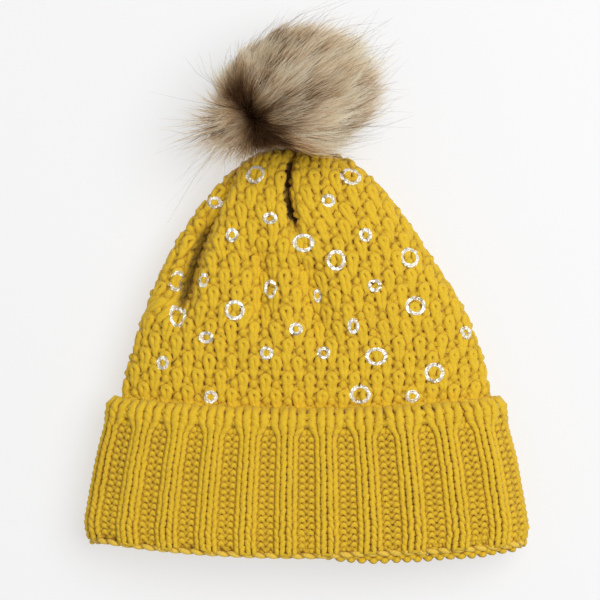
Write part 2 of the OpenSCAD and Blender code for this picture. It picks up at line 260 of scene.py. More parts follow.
def even_section(s, offset, turn, count, past_edge, origin):
    """One row of a fabric: evenly spaced points round a face of the hat, and their distances from an origin.

    The distances pass over the slit, whose walls take up cloth of their own."""
    angles = turn + spread_angles(ROW_SAMPLES, past_edge)
    rows = np.full(angles.shape, s)
    dense = hat_section(angles, rows, offset)
    length = run_lengths(dense)
    plain = run_lengths(hat_section(angles, rows, offset, FOLDS[1:]))
    even = np.linspace(0, length[-1], count)
    points = np.stack([np.interp(even, length, dense[:, k]) for k in range(3)], axis=-1)
    distance = np.interp(even, length, plain)
    return points, distance - plain[np.argmin(np.abs(dense[:, 0] - origin))]


def mesh_of(name, points, faces):
    """A smooth mesh from points and quads."""
    mesh = bpy.data.meshes.new(name)
    mesh.from_pydata(points.reshape(-1, 3).tolist(), [], faces.tolist())
    mesh.polygons.foreach_set("use_smooth", np.ones(len(faces), bool))
    return mesh


def mesh_grid(name, points, maps, crease=None):
    """A grid of quads over rows of points, with its stitch map and how much painted shade each point takes in a
    crease.
    """
    rows, columns = points.shape[:2]
    index = np.arange(rows * columns).reshape(rows, columns)
    quads = np.stack([index[:-1, :-1], index[:-1, 1:], index[1:, 1:], index[1:, :-1]], axis=-1).reshape(-1, 4)
    quads = quads[np.ptp(maps[..., 0].ravel()[quads], axis=1) < MAP_BREAK]
    mesh = mesh_of(name, points, quads)
    unit_maps = maps.reshape(-1, 2) / MAP_SPAN + MAP_ORIGIN
    mesh.uv_layers.new(name="stitch_map").uv.foreach_set(
        "vector", unit_maps[quads.ravel()].astype(np.float32).ravel())
    if crease is not None:
        values = mesh.attributes.new("crease", "FLOAT", "POINT").data
        values.foreach_set("value", crease.astype(np.float32).ravel())
    return mesh


def add_object(name, data):
    """A new object in the scene."""
    item = bpy.data.objects.new(name, data)
    scene.collection.objects.link(item)
    return item


class Wire:
    """A value in a node tree, so that a formula for nodes reads as a formula."""

    def __init__(self, socket):
        self.socket = socket

    def math(self, operation, *others):
        return operated("ShaderNodeMath", operation, self, *others)

    def __add__(self, other):
        return self.math("ADD", other)

    def __sub__(self, other):
        return self.math("SUBTRACT", other)

    def __mul__(self, other):
        return self.math("MULTIPLY", other)

    def __truediv__(self, other):
        return self.math("DIVIDE", other)

    def __rsub__(self, other):
        return self.math("MULTIPLY", -1) + other

    __radd__ = __add__
    __rmul__ = __mul__

    def at_least(self, low):
        return self.math("MAXIMUM", low)

    def at_most(self, high):
        return self.math("MINIMUM", high)

    def part(self, axis):
        node = place_node(tree_of(self), "ShaderNodeSeparateXYZ", Vector=self)
        return Wire(node.outputs["XYZ".index(axis)])


def tree_of(*values):
    """The node tree that the wires among some values belong to."""
    return next(k.socket.id_data for k in values if isinstance(k, Wire))


def plug(value, socket):
    """Links a wire to a socket, or sets a plain value on it."""
    if isinstance(value, Wire):
        socket.id_data.links.new(value.socket, socket)
    else:
        socket.default_value = value


def operated(kind, operation, *values, output=0):
    """One step of arithmetic on wires and plain values."""
    node = tree_of(*values).nodes.new(kind)
    node.operation = operation
    for socket, value in zip(node.inputs, values):
        plug(value, socket)
    return Wire(node.outputs[output])


def place_node(tree, kind, settings=None, **inputs):
    """Adds a node, sets its settings and plugs in its inputs by name, with _ for a space."""
    node = tree.nodes.new(kind)
    for key, value in (settings or {}).items():
        setattr(node, key, value)
    for key, value in inputs.items():
        name = key.replace("_", " ")
        plug(value, next(k for k in node.inputs if k.name == name and k.enabled))
    return node


def out(node, name=None):
    """The first output of a node, or the one of a name."""
    return Wire(next(k for k in node.outputs if k.enabled and name in (None, k.name)))


def make(tree, kind, settings=None, output=None, **inputs):
    """Adds a node and gives its output."""
    return out(place_node(tree, kind, settings, **inputs), output)


def geo(tree, kind, settings=None, output=None, **inputs):
    """Adds a geometry node and gives its output."""
    return make(tree, "GeometryNode" + kind, settings, output, **inputs)


def vector(x, y, z):
    return make(tree_of(x, y, z), "ShaderNodeCombineXYZ", X=x, Y=y, Z=z)


def added(first, second):
    return operated("ShaderNodeVectorMath", "ADD", first, second)


def less(first, second):
    return operated("ShaderNodeVectorMath", "SUBTRACT", first, second)


def unit(first):
    return operated("ShaderNodeVectorMath", "NORMALIZE", first)


def dot(first, second):
    return operated("ShaderNodeVectorMath", "DOT_PRODUCT", first, second, output="Value")


def scaled(first, factor):
    """A vector times a number."""
    node = place_node(tree_of(first, factor), "ShaderNodeVectorMath", {"operation": "SCALE"})
    plug(first, node.inputs[0])
    plug(factor, node.inputs["Scale"])
    return Wire(node.outputs[0])


def ramp(value, low, high, to_low=0.0, to_high=1.0):
    """Smooth rise of a wire from one value to another."""
    return make(tree_of(value), "ShaderNodeMapRange", {"interpolation_type": "SMOOTHSTEP"}, Value=value,
                From_Min=low, From_Max=high, To_Min=to_low, To_Max=to_high)


def noise_at(spot, scale, detail=2.0, output=None):
    return make(tree_of(spot), "ShaderNodeTexNoise", output=output, Vector=spot, Scale=scale, Detail=detail)


def capture(geometry, value, kind="FLOAT"):
    """Keeps a value on the points of a geometry, so that it stays the same when they move."""
    node = tree_of(geometry).nodes.new("GeometryNodeCaptureAttribute")
    node.capture_items.new(kind, "Value")
    plug(geometry, node.inputs[0])
    plug(value, node.inputs[1])
    return Wire(node.outputs[0]), Wire(node.outputs[1])


def store(geometry, name, value, kind="FLOAT", domain="POINT"):
    """Writes a value to a named attribute of a geometry."""
    return geo(tree_of(geometry), "StoreNamedAttribute", {"data_type": kind, "domain": domain},
               Geometry=geometry, Name=name, Value=value)


def store_map(geometry, u, v):
    """Writes the map that the materials are painted through."""
    return store(geometry, "OFBake", vector(u, v, 0), "FLOAT2", "CORNER")


def position(tree):
    return geo(tree, "InputPosition")


def along_spline(tree):
    return geo(tree, "SplineParameter", output="Factor")


def named(tree, name, kind="FLOAT_VECTOR"):
    """An attribute of the geometry by its name."""
    return geo(tree, "InputNamedAttribute", {"data_type": kind}, Name=name)


def new_tree(kind, name, inputs, outputs):
    """An empty node tree with its inputs and outputs, given as names under the kinds of their sockets."""
    tree = bpy.data.node_groups.new(name, kind)
    for way, sockets in (("INPUT", inputs), ("OUTPUT", outputs)):
        for socket_kind, names in sockets.items():
            for socket_name in names:
                tree.interface.new_socket(socket_name, in_out=way, socket_type="NodeSocket" + socket_kind)
    source = tree.nodes.new("NodeGroupInput")
    return tree, {k.name: Wire(k) for k in source.outputs if k.name}


def geometry_tree(name, **inputs):
    return new_tree("GeometryNodeTree", name, inputs, {"Geometry": ("Geometry",)})


def end_tree(tree, **values):
    """Plugs values into the tree's outputs."""
    target = tree.nodes.new("NodeGroupOutput")
    for key, value in values.items():
        plug(value, target.inputs[key])
    return tree


def end_geometry(tree, mesh, material):
    """Ends a tree with smooth faces, real geometry and a material."""
    mesh = geo(tree, "SetShadeSmooth", Geometry=mesh)
    mesh = geo(tree, "RealizeInstances", Geometry=mesh)
    return end_tree(tree, Geometry=geo(tree, "SetMaterial", Geometry=mesh, Material=material))


def run_tree(tree, name, mesh, values):
    """Runs a tree on a mesh with the given input values and returns the result as a plain mesh object."""
    base = add_object(name, mesh)
    modifier = base.modifiers.new("nodes", "NODES")
    modifier.node_group = tree
    identifiers = {k.name: k.identifier for k in tree.interface.items_tree if k.in_out == "INPUT"}
    for key, value in values.items():
        modifier[identifiers[key]] = value
    bpy.context.view_layer.update()
    graph = bpy.context.evaluated_depsgraph_get()
    result = bpy.data.meshes.new_from_object(base.evaluated_get(graph), depsgraph=graph)
    base.modifiers.remove(modifier)
    base.data = result
    result.name = name
    return base


def stitch_type(wale, course, values):
    """1 for a knit stitch and -1 for a purl stitch."""
    repeat = values["Knit Wales"] + values["Purl Wales"]
    shift = (course / values["Courses per Shift"] + 1e-3).math("FLOOR")
    place = (wale + shift).math("FLOORED_MODULO", repeat)
    return place.math("LESS_THAN", values["Knit Wales"] - 0.5) * 2 - 1


# Shape of a loop. Sways and leans are in wales, rises in loop depths and fullness in shares of the yarn.
KNIT_SWAY, MEETING_SWAY = 0.8, 0.2  # share of the sway in knit stitches, and more where they meet purl ones
FIRST_LEAN, LAST_LEAN, LUMP_LEAN = 0.12, 0.05, 0.05  # in the first and last row of a knit patch and in a lump
LEG_RISE, LEG_SET = 0.82, 0.18  # legs stand out of knit stitches, and all of them lie a little back
BASE_BLEND = 0.16  # run over which the bases of two neighbours meet at one level
HEAD_FULL, LUMP_FULL, LAST_FULL, FIRST_THIN = 0.05, 0.14, 0.05, 0.22
DRIFT_ALONG, DRIFT_UP, DRIFT_FULL = 0.55, 0.8, 0.35  # unevenness per wale, per course and in the fullness

# Shape of a rib, in half widths of its knit wales, and of the arch in which its valleys close
RIB_BEND, RIB_WIDTH, RIB_ROUND, PURL_START = 1.1, 1.18, 1.5, 1.05
ARCH_SPREAD, ARCH_STAND, ARCH_SINK, ARCH_FULL = 0.9, 0.7, 0.8, 0.55
# Painted shade in the rib valleys, as a drop of the yarn's height, in yarn radii
VALLEY_SHADE = 0.18
STRIP_FILL = 0.98  # share of a course's strip on the map that its yarn takes up


def knit_tree():
    """Courses of yarn loops in flat stitch space, laid onto a fabric through its stitch map."""
    tree, values = geometry_tree(
        "knit_stitches", Geometry=("Fabric",),
        Int=("First Wale", "Wales", "First Course", "Courses", "Points per Stitch", "Yarn Sides",
             "Knit Wales", "Purl Wales", "Courses per Shift"),
        Float=("Yarn Radius", "Loop Height", "Loop Sway", "Loop Depth", "Bump Share", "Leg Fullness",
               "Purl Sway", "Rib Relief", "Arch Course", "Arch Run", "Unevenness", "Seed"),
        Material=("Yarn",))

    # Straight courses, one unit per wale and per course
    line = geo(tree, "CurvePrimitiveLine", Start=vector(values["First Wale"], 0, 0),
               End=vector(values["First Wale"] + values["Wales"], 0, 0))
    line = geo(tree, "ResampleCurve", Curve=line, Count=values["Wales"] * values["Points per Stitch"] + 1)
    rows = geo(tree, "MeshLine", Count=values["Courses"], Start_Location=vector(0, values["First Course"], 0),
               Offset=(0, 1, 0))
    courses = geo(tree, "InstanceOnPoints", Points=rows, Instance=line)
    courses = geo(tree, "RealizeInstances", Geometry=courses)
    flat = position(tree)
    courses, along = capture(courses, flat.part("X"))
    courses, course = capture(courses, flat.part("Y"))

    # One stitch: the yarn rises to its head and falls back, and its legs sway into an omega
    wale = (along + 1e-4).math("FLOOR")
    t = along - wale
    turn = t * (2 * math.pi)
    rise = turn.math("COSINE")
    here = stitch_type(wale, course, values)
    above = stitch_type(wale, course + 1, values)
    below = stitch_type(wale, course - 1, values)
    first = (here - below).at_least(0.0) * 0.5
    last = (here - above).at_least(0.0) * 0.5
    knit = here.at_least(0.0)
    lump = (above + here).math("LESS_THAN", -1.5) * below.at_least(0.0)
    omega = knit * KNIT_SWAY + (1 - knit - lump) * values["Purl Sway"] + (first + last) * MEETING_SWAY
    sway = (turn * 2).math("SINE") * values["Loop Sway"] * omega
    sway += turn.math("SINE") * (first * FIRST_LEAN + last * LAST_LEAN + lump * LUMP_LEAN)
    beside = stitch_type(wale + (t - 0.5).math("SIGN"), course, values)
    to_edge = 0.5 - (t - 0.5).math("ABSOLUTE")
    blend = ramp(to_edge, 0.0, BASE_BLEND, 0.5, 1.0)
    base = here * blend + beside * (1 - blend)
    head_weight = rise.at_most(0.0).math("POWER", 2.0)
    base_weight = rise.at_least(0.0).math("POWER", 2.0)
    leg_weight = turn.math("SINE").math("POWER", 2.0)
    depth = leg_weight * (here * LEG_RISE - LEG_SET) - head_weight * above
    depth -= base_weight * base * ramp(base, -1.0, 1.0, values["Bump Share"], 1.0)

    # Unevenness of hand and yarn, slow over the fabric and quick from stitch to stitch
    drift = noise_at(vector(along * DRIFT_ALONG, course * DRIFT_UP, values["Seed"]), 1.0, output="Color")
    wander_x, wander_y, wander_z = ((drift.part(axis) - 0.5) * values["Unevenness"] for axis in "XYZ")

    # A rib: its knit wales stand up in a round, its purl wales lie low and close in an arch at the top
    repeat = values["Knit Wales"] + values["Purl Wales"]
    ribbed = values["Rib Relief"].math("GREATER_THAN", 1e-6)
    half_knit = values["Knit Wales"] * 0.5
    half_purl = values["Purl Wales"] * 0.5
    half_repeat = half_knit + half_purl
    x = along + sway + wander_x
    y = course + 0.5 - rise * values["Loop Height"] * 0.5 + wander_y
    place = (x + half_purl).math("FLOORED_MODULO", repeat) - half_purl - half_knit
    closing = ramp(y, values["Arch Course"], values["Arch Course"] + values["Arch Run"])
    inside = place.math("ABSOLUTE").math("LESS_THAN", half_knit)
    knit_share = (place / half_knit).at_least(-1.0).at_most(1.0)
    knit_x = (knit_share * RIB_BEND).math("SINE") * half_knit * RIB_WIDTH
    knit_x += (knit_share * half_repeat - knit_x) * closing * ARCH_SPREAD
    spread = half_knit * PURL_START
    spread += (half_repeat - spread) * closing * ARCH_SPREAD
    purl_share = (place.math("ABSOLUTE") - half_knit) / half_purl
    purl_x = place.math("SIGN") * (spread + purl_share * (half_repeat - spread))
    rib_x = x - place + purl_x + (knit_x - purl_x) * inside
    stand = (knit_share * RIB_ROUND).math("COSINE").at_least(closing * ARCH_STAND) * inside
    relief = (stand - (1 - inside) * closing * ARCH_SINK) * values["Rib Relief"]
    x += (rib_x - x) * ribbed
    z = (depth + wander_z) * values["Loop Depth"] + relief

    # Onto the fabric. Loops that fall off its edge are cut there.
    spot = vector(x / MAP_SPAN + MAP_ORIGIN[0], y / MAP_SPAN + MAP_ORIGIN[1], 0)
    fabric_map = named(tree, "stitch_map")

    def sampled(field, kind="FLOAT_VECTOR"):
        return place_node(tree, "GeometryNodeSampleUVSurface", {"data_type": kind}, Mesh=values["Fabric"],
                          Value=field, UV_Map=fabric_map, Sample_UV=spot)

    ground = sampled(position(tree))
    courses, valid = capture(courses, out(ground, "Is Valid"), "BOOLEAN")
    courses, on_fabric = capture(courses, out(ground, "Value"), "VECTOR")
    courses, outward = capture(courses, out(sampled(geo(tree, "InputNormal")), "Value"), "VECTOR")
    # The fabric's painted crease shade, carried onto the yarn
    courses, crease = capture(courses, out(sampled(named(tree, "crease", "FLOAT"), "FLOAT"), "Value"))
    courses, relief = capture(courses, relief)
    courses, valley = capture(courses, (1 - inside) * ribbed)
    courses = geo(tree, "SetPosition", Geometry=courses, Position=added(on_fabric, scaled(outward, z)))
    courses = geo(tree, "DeleteGeometry", {"domain": "POINT"}, Geometry=courses,
                  Selection=operated("FunctionNodeBooleanMath", "NOT", valid))

    # Tubes, closed to a point at both ends, with a strip of the map for each course
    ends = geo(tree, "CurveEndpointSelection", Start_Size=1, End_Size=1)
    plump = (leg_weight - 0.5) * values["Leg Fullness"] * knit + head_weight * (1 - knit) * HEAD_FULL
    plump += head_weight * lump * LUMP_FULL + leg_weight * last * LAST_FULL - base_weight * first * FIRST_THIN
    fullness = (1 + plump + wander_x * DRIFT_FULL + closing * ribbed * ARCH_FULL) * (1 - ends)
    profile = geo(tree, "CurveArc", {"mode": "RADIUS"}, Resolution=values["Yarn Sides"] + 1,
                  Radius=values["Yarn Radius"], Sweep_Angle=2 * math.pi)
    profile, around = capture(profile, along_spline(tree))
    tube = geo(tree, "CurveToMesh", Curve=courses, Profile_Curve=profile, Scale=fullness)
    # Height of each point of yarn above its rib in yarn radii, lower in the rib valleys, which sets its painted
    # shade
    lifted = dot(less(position(tree), on_fabric), outward)
    tube = store(tube, "yarn_height", (lifted - relief) / values["Yarn Radius"] - valley * VALLEY_SHADE)
    tube = store(tube, "crease", crease)
    tube = store_map(tube, (along - values["First Wale"]) / values["Wales"],
                     (course - values["First Course"] + around * STRIP_FILL) / values["Courses"])
    tube = geo(tree, "MergeByDistance", Geometry=tube, Distance=1e-6)
    return end_geometry(tree, tube, values["Yarn"])


# A chain's twist is flatter than round, its strands swell on the outside, and their reach from its middle sets
# a painted shade, darker nearer the middle
CHAIN_FLAT, CHAIN_SWELL, CHAIN_SIDES = 0.6, 0.5, 10
CHAIN_LIGHT, CHAIN_DARK = 3.2, 2.0


def chain_tree():
    """Strands twisted round a path, as the linking chain along the brim."""
    tree, values = geometry_tree(
        "linking_chain", Geometry=("Path",), Vector=("Level",), Int=("Points", "Strands"),
        Float=("Twists", "Twist Radius", "Strand Radius"), Material=("Yarn",))
    path = geo(tree, "MeshToCurve", Mesh=values["Path"])
    path = geo(tree, "ResampleCurve", Curve=path, Count=values["Points"])
    copies = place_node(tree, "GeometryNodeDuplicateElements", {"domain": "SPLINE"}, Geometry=path,
                        Amount=values["Strands"])
    strands, strand = capture(out(copies), out(copies, "Duplicate Index"))
    strands, axis = capture(strands, position(tree), "VECTOR")
    strands, along = capture(strands, along_spline(tree))
    turn = (along * values["Twists"] + strand / values["Strands"]) * (2 * math.pi)
    level, radius = values["Level"], values["Twist Radius"]
    outward = operated("ShaderNodeVectorMath", "CROSS_PRODUCT", geo(tree, "InputTangent"), level)
    offset = added(scaled(level, turn.math("COSINE") * radius * CHAIN_FLAT),
                   scaled(outward, turn.math("SINE") * radius))
    strands = geo(tree, "SetPosition", Geometry=strands, Offset=offset)
    profile = geo(tree, "CurvePrimitiveCircle", Resolution=CHAIN_SIDES, Radius=values["Strand Radius"])
    profile, around = capture(profile, along_spline(tree))
    tube = geo(tree, "CurveToMesh", Curve=strands, Profile_Curve=profile,
               Scale=1 + turn.math("SINE") * CHAIN_SWELL)
    # Painted shade: the nearer the chain's middle, the darker
    lifted = less(position(tree), axis)
    reach = dot(lifted, lifted).math("SQRT") / (radius + values["Strand Radius"])
    tube = store(tube, "yarn_height", reach * CHAIN_LIGHT - CHAIN_DARK)
    tube = store_map(tube, along, (strand + around) / values["Strands"])
    return end_geometry(tree, tube, values["Yarn"])


RING_STEPS, BAND_STEPS = 97, 7
FOIL_BREAK = 0.0018  # foil is broken where the knitting lies deeper than this below its dip


def foil_tree():
    """Foil rings laid onto the knitting from points, broken where the knitting dips."""
    tree, values = geometry_tree(
        "foil_rings", Geometry=("Ring Points",), Object=("Knitting",),
        Float=("Band Share", "Reach", "Dip", "Thickness"), Material=("Foil",))

    # Flat rings of radius 1, set on the points
    grid = geo(tree, "MeshGrid", Size_X=1.0, Size_Y=1.0, Vertices_X=RING_STEPS, Vertices_Y=BAND_STEPS)
    spot = position(tree)
    turn = (spot.part("X") + 0.5) * (2 * math.pi)
    radius = 1 - values["Band Share"] * (0.5 - spot.part("Y"))
    ring = geo(tree, "SetPosition", Geometry=grid,
               Position=vector(turn.math("COSINE") * radius, turn.math("SINE") * radius, 0))
    ring = geo(tree, "MergeByDistance", Geometry=ring, Distance=1e-4)
    facing = named(tree, "ring_normal")
    turned = make(tree, "FunctionNodeAlignRotationToVector", {"axis": "Z"}, Vector=facing)
    rings = geo(tree, "InstanceOnPoints", Points=values["Ring Points"], Instance=ring, Rotation=turned,
                Scale=named(tree, "ring_size"))
    rings = geo(tree, "RealizeInstances", Geometry=rings)

    # Down onto the knitting, and given a thickness
    knitting = geo(tree, "ObjectInfo", Object=values["Knitting"], output="Geometry")
    above = added(position(tree), scaled(facing, values["Reach"]))
    drop = geo(tree, "Raycast", output="Hit Distance", Target_Geometry=knitting, Source_Position=above,
               Ray_Direction=scaled(facing, -1), Ray_Length=values["Reach"] * 3)
    rings, drop = capture(rings, drop)
    deepest = values["Reach"] + values["Dip"]
    landing = less(above, scaled(facing, drop.at_most(deepest) - values["Thickness"]))
    rings = geo(tree, "SetPosition", Geometry=rings, Position=landing)
    rings = geo(tree, "DeleteGeometry", {"domain": "POINT"}, Geometry=rings,
                Selection=drop.math("GREATER_THAN", deepest + FOIL_BREAK))
    join = tree.nodes.new("GeometryNodeJoinGeometry")
    plug(geo(tree, "ExtrudeMesh", {"mode": "FACES"}, Mesh=rings, Offset_Scale=values["Thickness"],
             Individual=False), join.inputs[0])
    plug(geo(tree, "FlipFaces", Mesh=rings), join.inputs[0])
    foil = geo(tree, "MergeByDistance", Geometry=out(join), Distance=1e-7)
    return end_geometry(tree, foil, values["Foil"])


# How the fur lies, with ways in the hat's frame
PARTING_WAY = (0.43, -0.90, 0.0)  # the dark parting runs this way through the whorl
PARTING_STRETCH = 0.70  # how far it is drawn out along that way
DARK_SHIFT = (0.19, 0.10, 0.08)  # from the whorl to the parting's middle, as a share of the pelt's radius
PARTING_SHORT = 0.42  # how much shorter the hairs in it are
FALL_WAY, FALL_LONG = (-0.75, -0.6, -0.3), 0.7  # longer towards the lower left
TRIM_WAY, TRIM_SHORT = (-0.45, 0.89, 0.0), 0.5  # shorter towards the top
PALE_WAY = (-0.9, -0.4, 0.0)  # paler on the left
BODY_SCALE, BODY_SHORTEST, BODY_RANGE = 2.4, 0.6, 0.8  # swells of longer and shorter fur
TUFT_SHORTEST, TUFT_RANGE = 0.72, 0.56  # locks of different lengths
FUR_TOP, FUR_BOTTOM = 0.0815, 0.0015  # heights between which the tips stay
# CROWN_PRESS also sets the run over which hairs pressed at the gather take painted shade
CROWN_ROUND, CROWN_RAGGED, CROWN_PRESS = 15.0, 0.002, 0.006  # bend of the gather, and how hairs end at it
STRAND_BEND, STRAND_CURL, STRAND_TAPER = 0.4, 0.16, 0.75
# How its shade comes from streaks, pale sides, locks and single strands
STREAK_ROUND, STREAK_GAIN, SHADE_MIDDLE = 2.3, 12.0, 0.27
PALE_SHADE, LOCK_SHADE, STRAND_SHADE = 0.8, 0.9, 0.14


def fur_tree():
    """Strands of fur on a pelt, combed away from a whorl and drawn together in locks at their tips."""
    tree, values = geometry_tree(
        "fur_strands", Geometry=("Pelt",), Int=("Seed", "Points per Strand", "Shades"),
        Float=("Density", "Root Radius", "Length", "Crown Top", "Comb", "Shortest", "Longest", "Lock Scale",
               "Lock Pull", "Stray", "Tip Reach", "Shade Low", "Shade High"),
        Vector=("Pelt Middle", "Whorl"), Material=("Hair",))
    roots = geo(tree, "DistributePointsOnFaces", {"distribute_method": "RANDOM"}, Mesh=values["Pelt"],
                Density=values["Density"], Seed=values["Seed"])
    roots, root = capture(roots, position(tree), "VECTOR")

    def chance(low, high, salt, kind="FLOAT"):
        return make(tree, "FunctionNodeRandomValue", {"data_type": kind}, Min=low, Max=high,
                    Seed=values["Seed"] * 10 + salt)

    def chance_way(salt):
        return chance((-1, -1, -1), (1, 1, 1), salt, "FLOAT_VECTOR")

    # Which way a hair goes: away from the whorl, more upright on the far side
    whorl = values["Whorl"]
    away = unit(less(root, values["Pelt Middle"]))
    facing = dot(away, whorl)
    side = unit(less(scaled(away, facing), whorl))
    comb = ramp(facing, 0.995, 0.88) * ramp(facing, -0.9, 0.3, 0.25, 1.0) * values["Comb"]
    way = unit(added(away, scaled(side, comb)))
    way = unit(added(way, scaled(chance_way(1), values["Stray"])))

    # How long it is, and its tip, drawn to the middle of its lock
    cell = place_node(tree, "ShaderNodeTexVoronoi", {"feature": "F1"}, Vector=away, Scale=values["Lock Scale"])
    to_lock = scaled(less(unit(out(cell, "Position")), away), values["Lock Pull"])
    parted = less(away, scaled(PARTING_WAY, dot(away, PARTING_WAY) * PARTING_STRETCH))
    parting = ramp(dot(unit(parted), unit(added(whorl, DARK_SHIFT))), 0.89, 0.975)
    fall = dot(way, FALL_WAY).at_least(0.0) * FALL_LONG
    trim = ramp(dot(way, TRIM_WAY), 0.1, 0.95, 0.0, TRIM_SHORT)
    tuft = TUFT_SHORTEST + out(cell, "Color").part("X") * TUFT_RANGE
    swell = BODY_SHORTEST + noise_at(away, BODY_SCALE, 1.0) * BODY_RANGE
    length = values["Length"] * chance(values["Shortest"], values["Longest"], 2) * (1 + fall - trim)
    length *= swell * tuft * (1 - parting * PARTING_SHORT)
    tip = added(root, scaled(way, length))
    tip = added(tip, scaled(to_lock, length))

    # Short of the crown, whose gathered top stands in front of the fur
    rounding = (tip.part("X") + CROWN_LEAN).math("POWER", 2.0) * CROWN_ROUND
    nearest = values["Crown Top"] - rounding + chance(-CROWN_RAGGED, CROWN_RAGGED, 5)
    pressed = ramp(nearest - tip.part("Y"), 0.0, CROWN_PRESS)
    height = tip.part("Z").at_least(FUR_BOTTOM).at_most(FUR_TOP)
    tip = vector(tip.part("X"), tip.part("Y").at_least(nearest), height)

    # Which of the shades it has: streaked round the whorl, paler at the left and darkest in the parting
    around = unit(less(away, scaled(whorl, facing)))
    streak = noise_at(added(scaled(around, STREAK_ROUND), scaled(whorl, facing)), 1.0)
    pale = ramp(dot(way, PALE_WAY), 0.4, 0.95)
    dark = parting * (1 - pale * 0.9)
    shade = (streak - 0.5) * STREAK_GAIN + SHADE_MIDDLE - pale * PALE_SHADE
    shade += (out(cell, "Color").part("Y") - 0.5) * LOCK_SHADE + chance(-STRAND_SHADE, STRAND_SHADE, 3)
    shade = shade.at_least(0.0).at_most(0.999)
    shade = values["Shade Low"] + shade * (values["Shade High"] - values["Shade Low"])
    shade = shade.at_least(dark * 0.999)
    shade = ((shade * values["Shades"]).math("FLOOR") + 0.5) / values["Shades"]
    roots, tip = capture(roots, tip, "VECTOR")
    roots, away = capture(roots, away, "VECTOR")
    roots, curl = capture(roots, chance_way(6), "VECTOR")
    roots, shade = capture(roots, shade)
    roots, stout = capture(roots, chance(0.7, 1.2, 4))
    # Hairs pressed against the crown's top reach less far into their light tip colours: painted shade under the
    # crown
    roots, tip_reach = capture(roots, values["Tip Reach"] * (1 - pressed * 0.6))
    roots, dark = capture(roots, dark)

    # Strands, bent from the pelt's normal over to their tips
    line = geo(tree, "CurvePrimitiveLine", Start=(0, 0, 0), End=(0, 0, 1))
    line = geo(tree, "ResampleCurve", Curve=line, Count=values["Points per Strand"])
    strands = geo(tree, "InstanceOnPoints", Points=roots, Instance=line)
    strands = geo(tree, "RealizeInstances", Geometry=strands)
    strands, t = capture(strands, along_spline(tree))
    whole = operated("ShaderNodeVectorMath", "DISTANCE", root, tip, output="Value")
    bend = added(root, scaled(away, whole * STRAND_BEND))
    bend = added(bend, scaled(curl, whole * STRAND_CURL))
    early = 1 - t
    place = added(scaled(root, early * early), scaled(tip, t * t))
    place = added(place, scaled(bend, early * t * 2))
    strands = geo(tree, "SetPosition", Geometry=strands, Position=place)
    profile = geo(tree, "CurvePrimitiveCircle", Resolution=3, Radius=values["Root Radius"])
    taper = (1 - t * t * STRAND_TAPER) * stout
    fur = geo(tree, "CurveToMesh", Curve=strands, Profile_Curve=profile, Scale=taper)
    fur = store_map(fur, shade, t * tip_reach * (1 - dark * (0.62 - t * 0.27)))
    return end_geometry(tree, fur, values["Hair"])


MUSTARD, MUSTARD_SHADOW = (0.786, 0.510, 0.016), (0.33, 0.163, 0.004)
PALE_MUSTARD, PALE_SHADOW = (0.84, 0.57, 0.060), (0.40, 0.21, 0.010)
# Colour of the painted shade in the slit and the lobe's crease
PAINTED_CREASE_SHADE = (0.075, 0.027, 0.001)
INNER_MUSTARD, INNER_SHADOW = (0.74, 0.46, 0.020), (0.36, 0.18, 0.005)
FOIL_BRIGHT, FOIL_WORN = (1.0, 0.97, 0.88), (0.34, 0.26, 0.13)
FIBRES = 1500.0  # scale of the fine fibres of wool, per metre
THREAD_TURNS = 500.0  # turns of a thread's twist per metre
TWISTS_PER_WALE = 2.0
YARN_PLIES = 2.0

# Colours of a hair from its root to its tip, in the light coat and in the dark one
LIGHT_HAIR = (
    (0.0, (0.045, 0.020, 0.012)), (0.18, (0.26, 0.135, 0.066)), (0.38, (0.92, 0.63, 0.34)),
    (0.56, (0.72, 0.45, 0.22)), (0.70, (1.0, 0.80, 0.53)), (0.88, (1.0, 0.93, 0.75)))
DARK_HAIR = (
    (0.0, (0.022, 0.007, 0.003)), (0.30, (0.030, 0.010, 0.004)), (0.50, (0.075, 0.028, 0.010)),
    (0.64, (0.18, 0.080, 0.033)), (0.76, (0.48, 0.29, 0.14)), (0.92, (1.0, 0.84, 0.60)))


def new_material(name, roughness, metallic=0.0):
    """A material with its node tree and its shader."""
    material = bpy.data.materials.new(name)
    material.use_nodes = True
    shader = material.node_tree.nodes["Principled BSDF"]
    shader.inputs["Roughness"].default_value = roughness
    shader.inputs["Metallic"].default_value = metallic
    return material, material.node_tree, shader


def opaque(colour):
    return (*colour, 1)


def mix_colour(factor, first, second):
    return make(tree_of(factor), "ShaderNodeMix", {"data_type": "RGBA"}, Factor=factor, A=first, B=second)


def object_spot(tree):
    return make(tree, "ShaderNodeTexCoord", output="Object")


def map_spot(tree):
    return make(tree, "ShaderNodeUVMap", {"uv_map": "OFBake"})


def attribute(tree, name):
    return make(tree, "ShaderNodeAttribute", {"attribute_name": name}, "Fac")


def add_bump(shader, height, strength, depth):
    """Bumps a shader by a height, of which one unit is a depth in metres."""
    plug(make(shader.id_data, "ShaderNodeBump", Strength=strength, Distance=depth, Height=height),
         shader.inputs["Normal"])


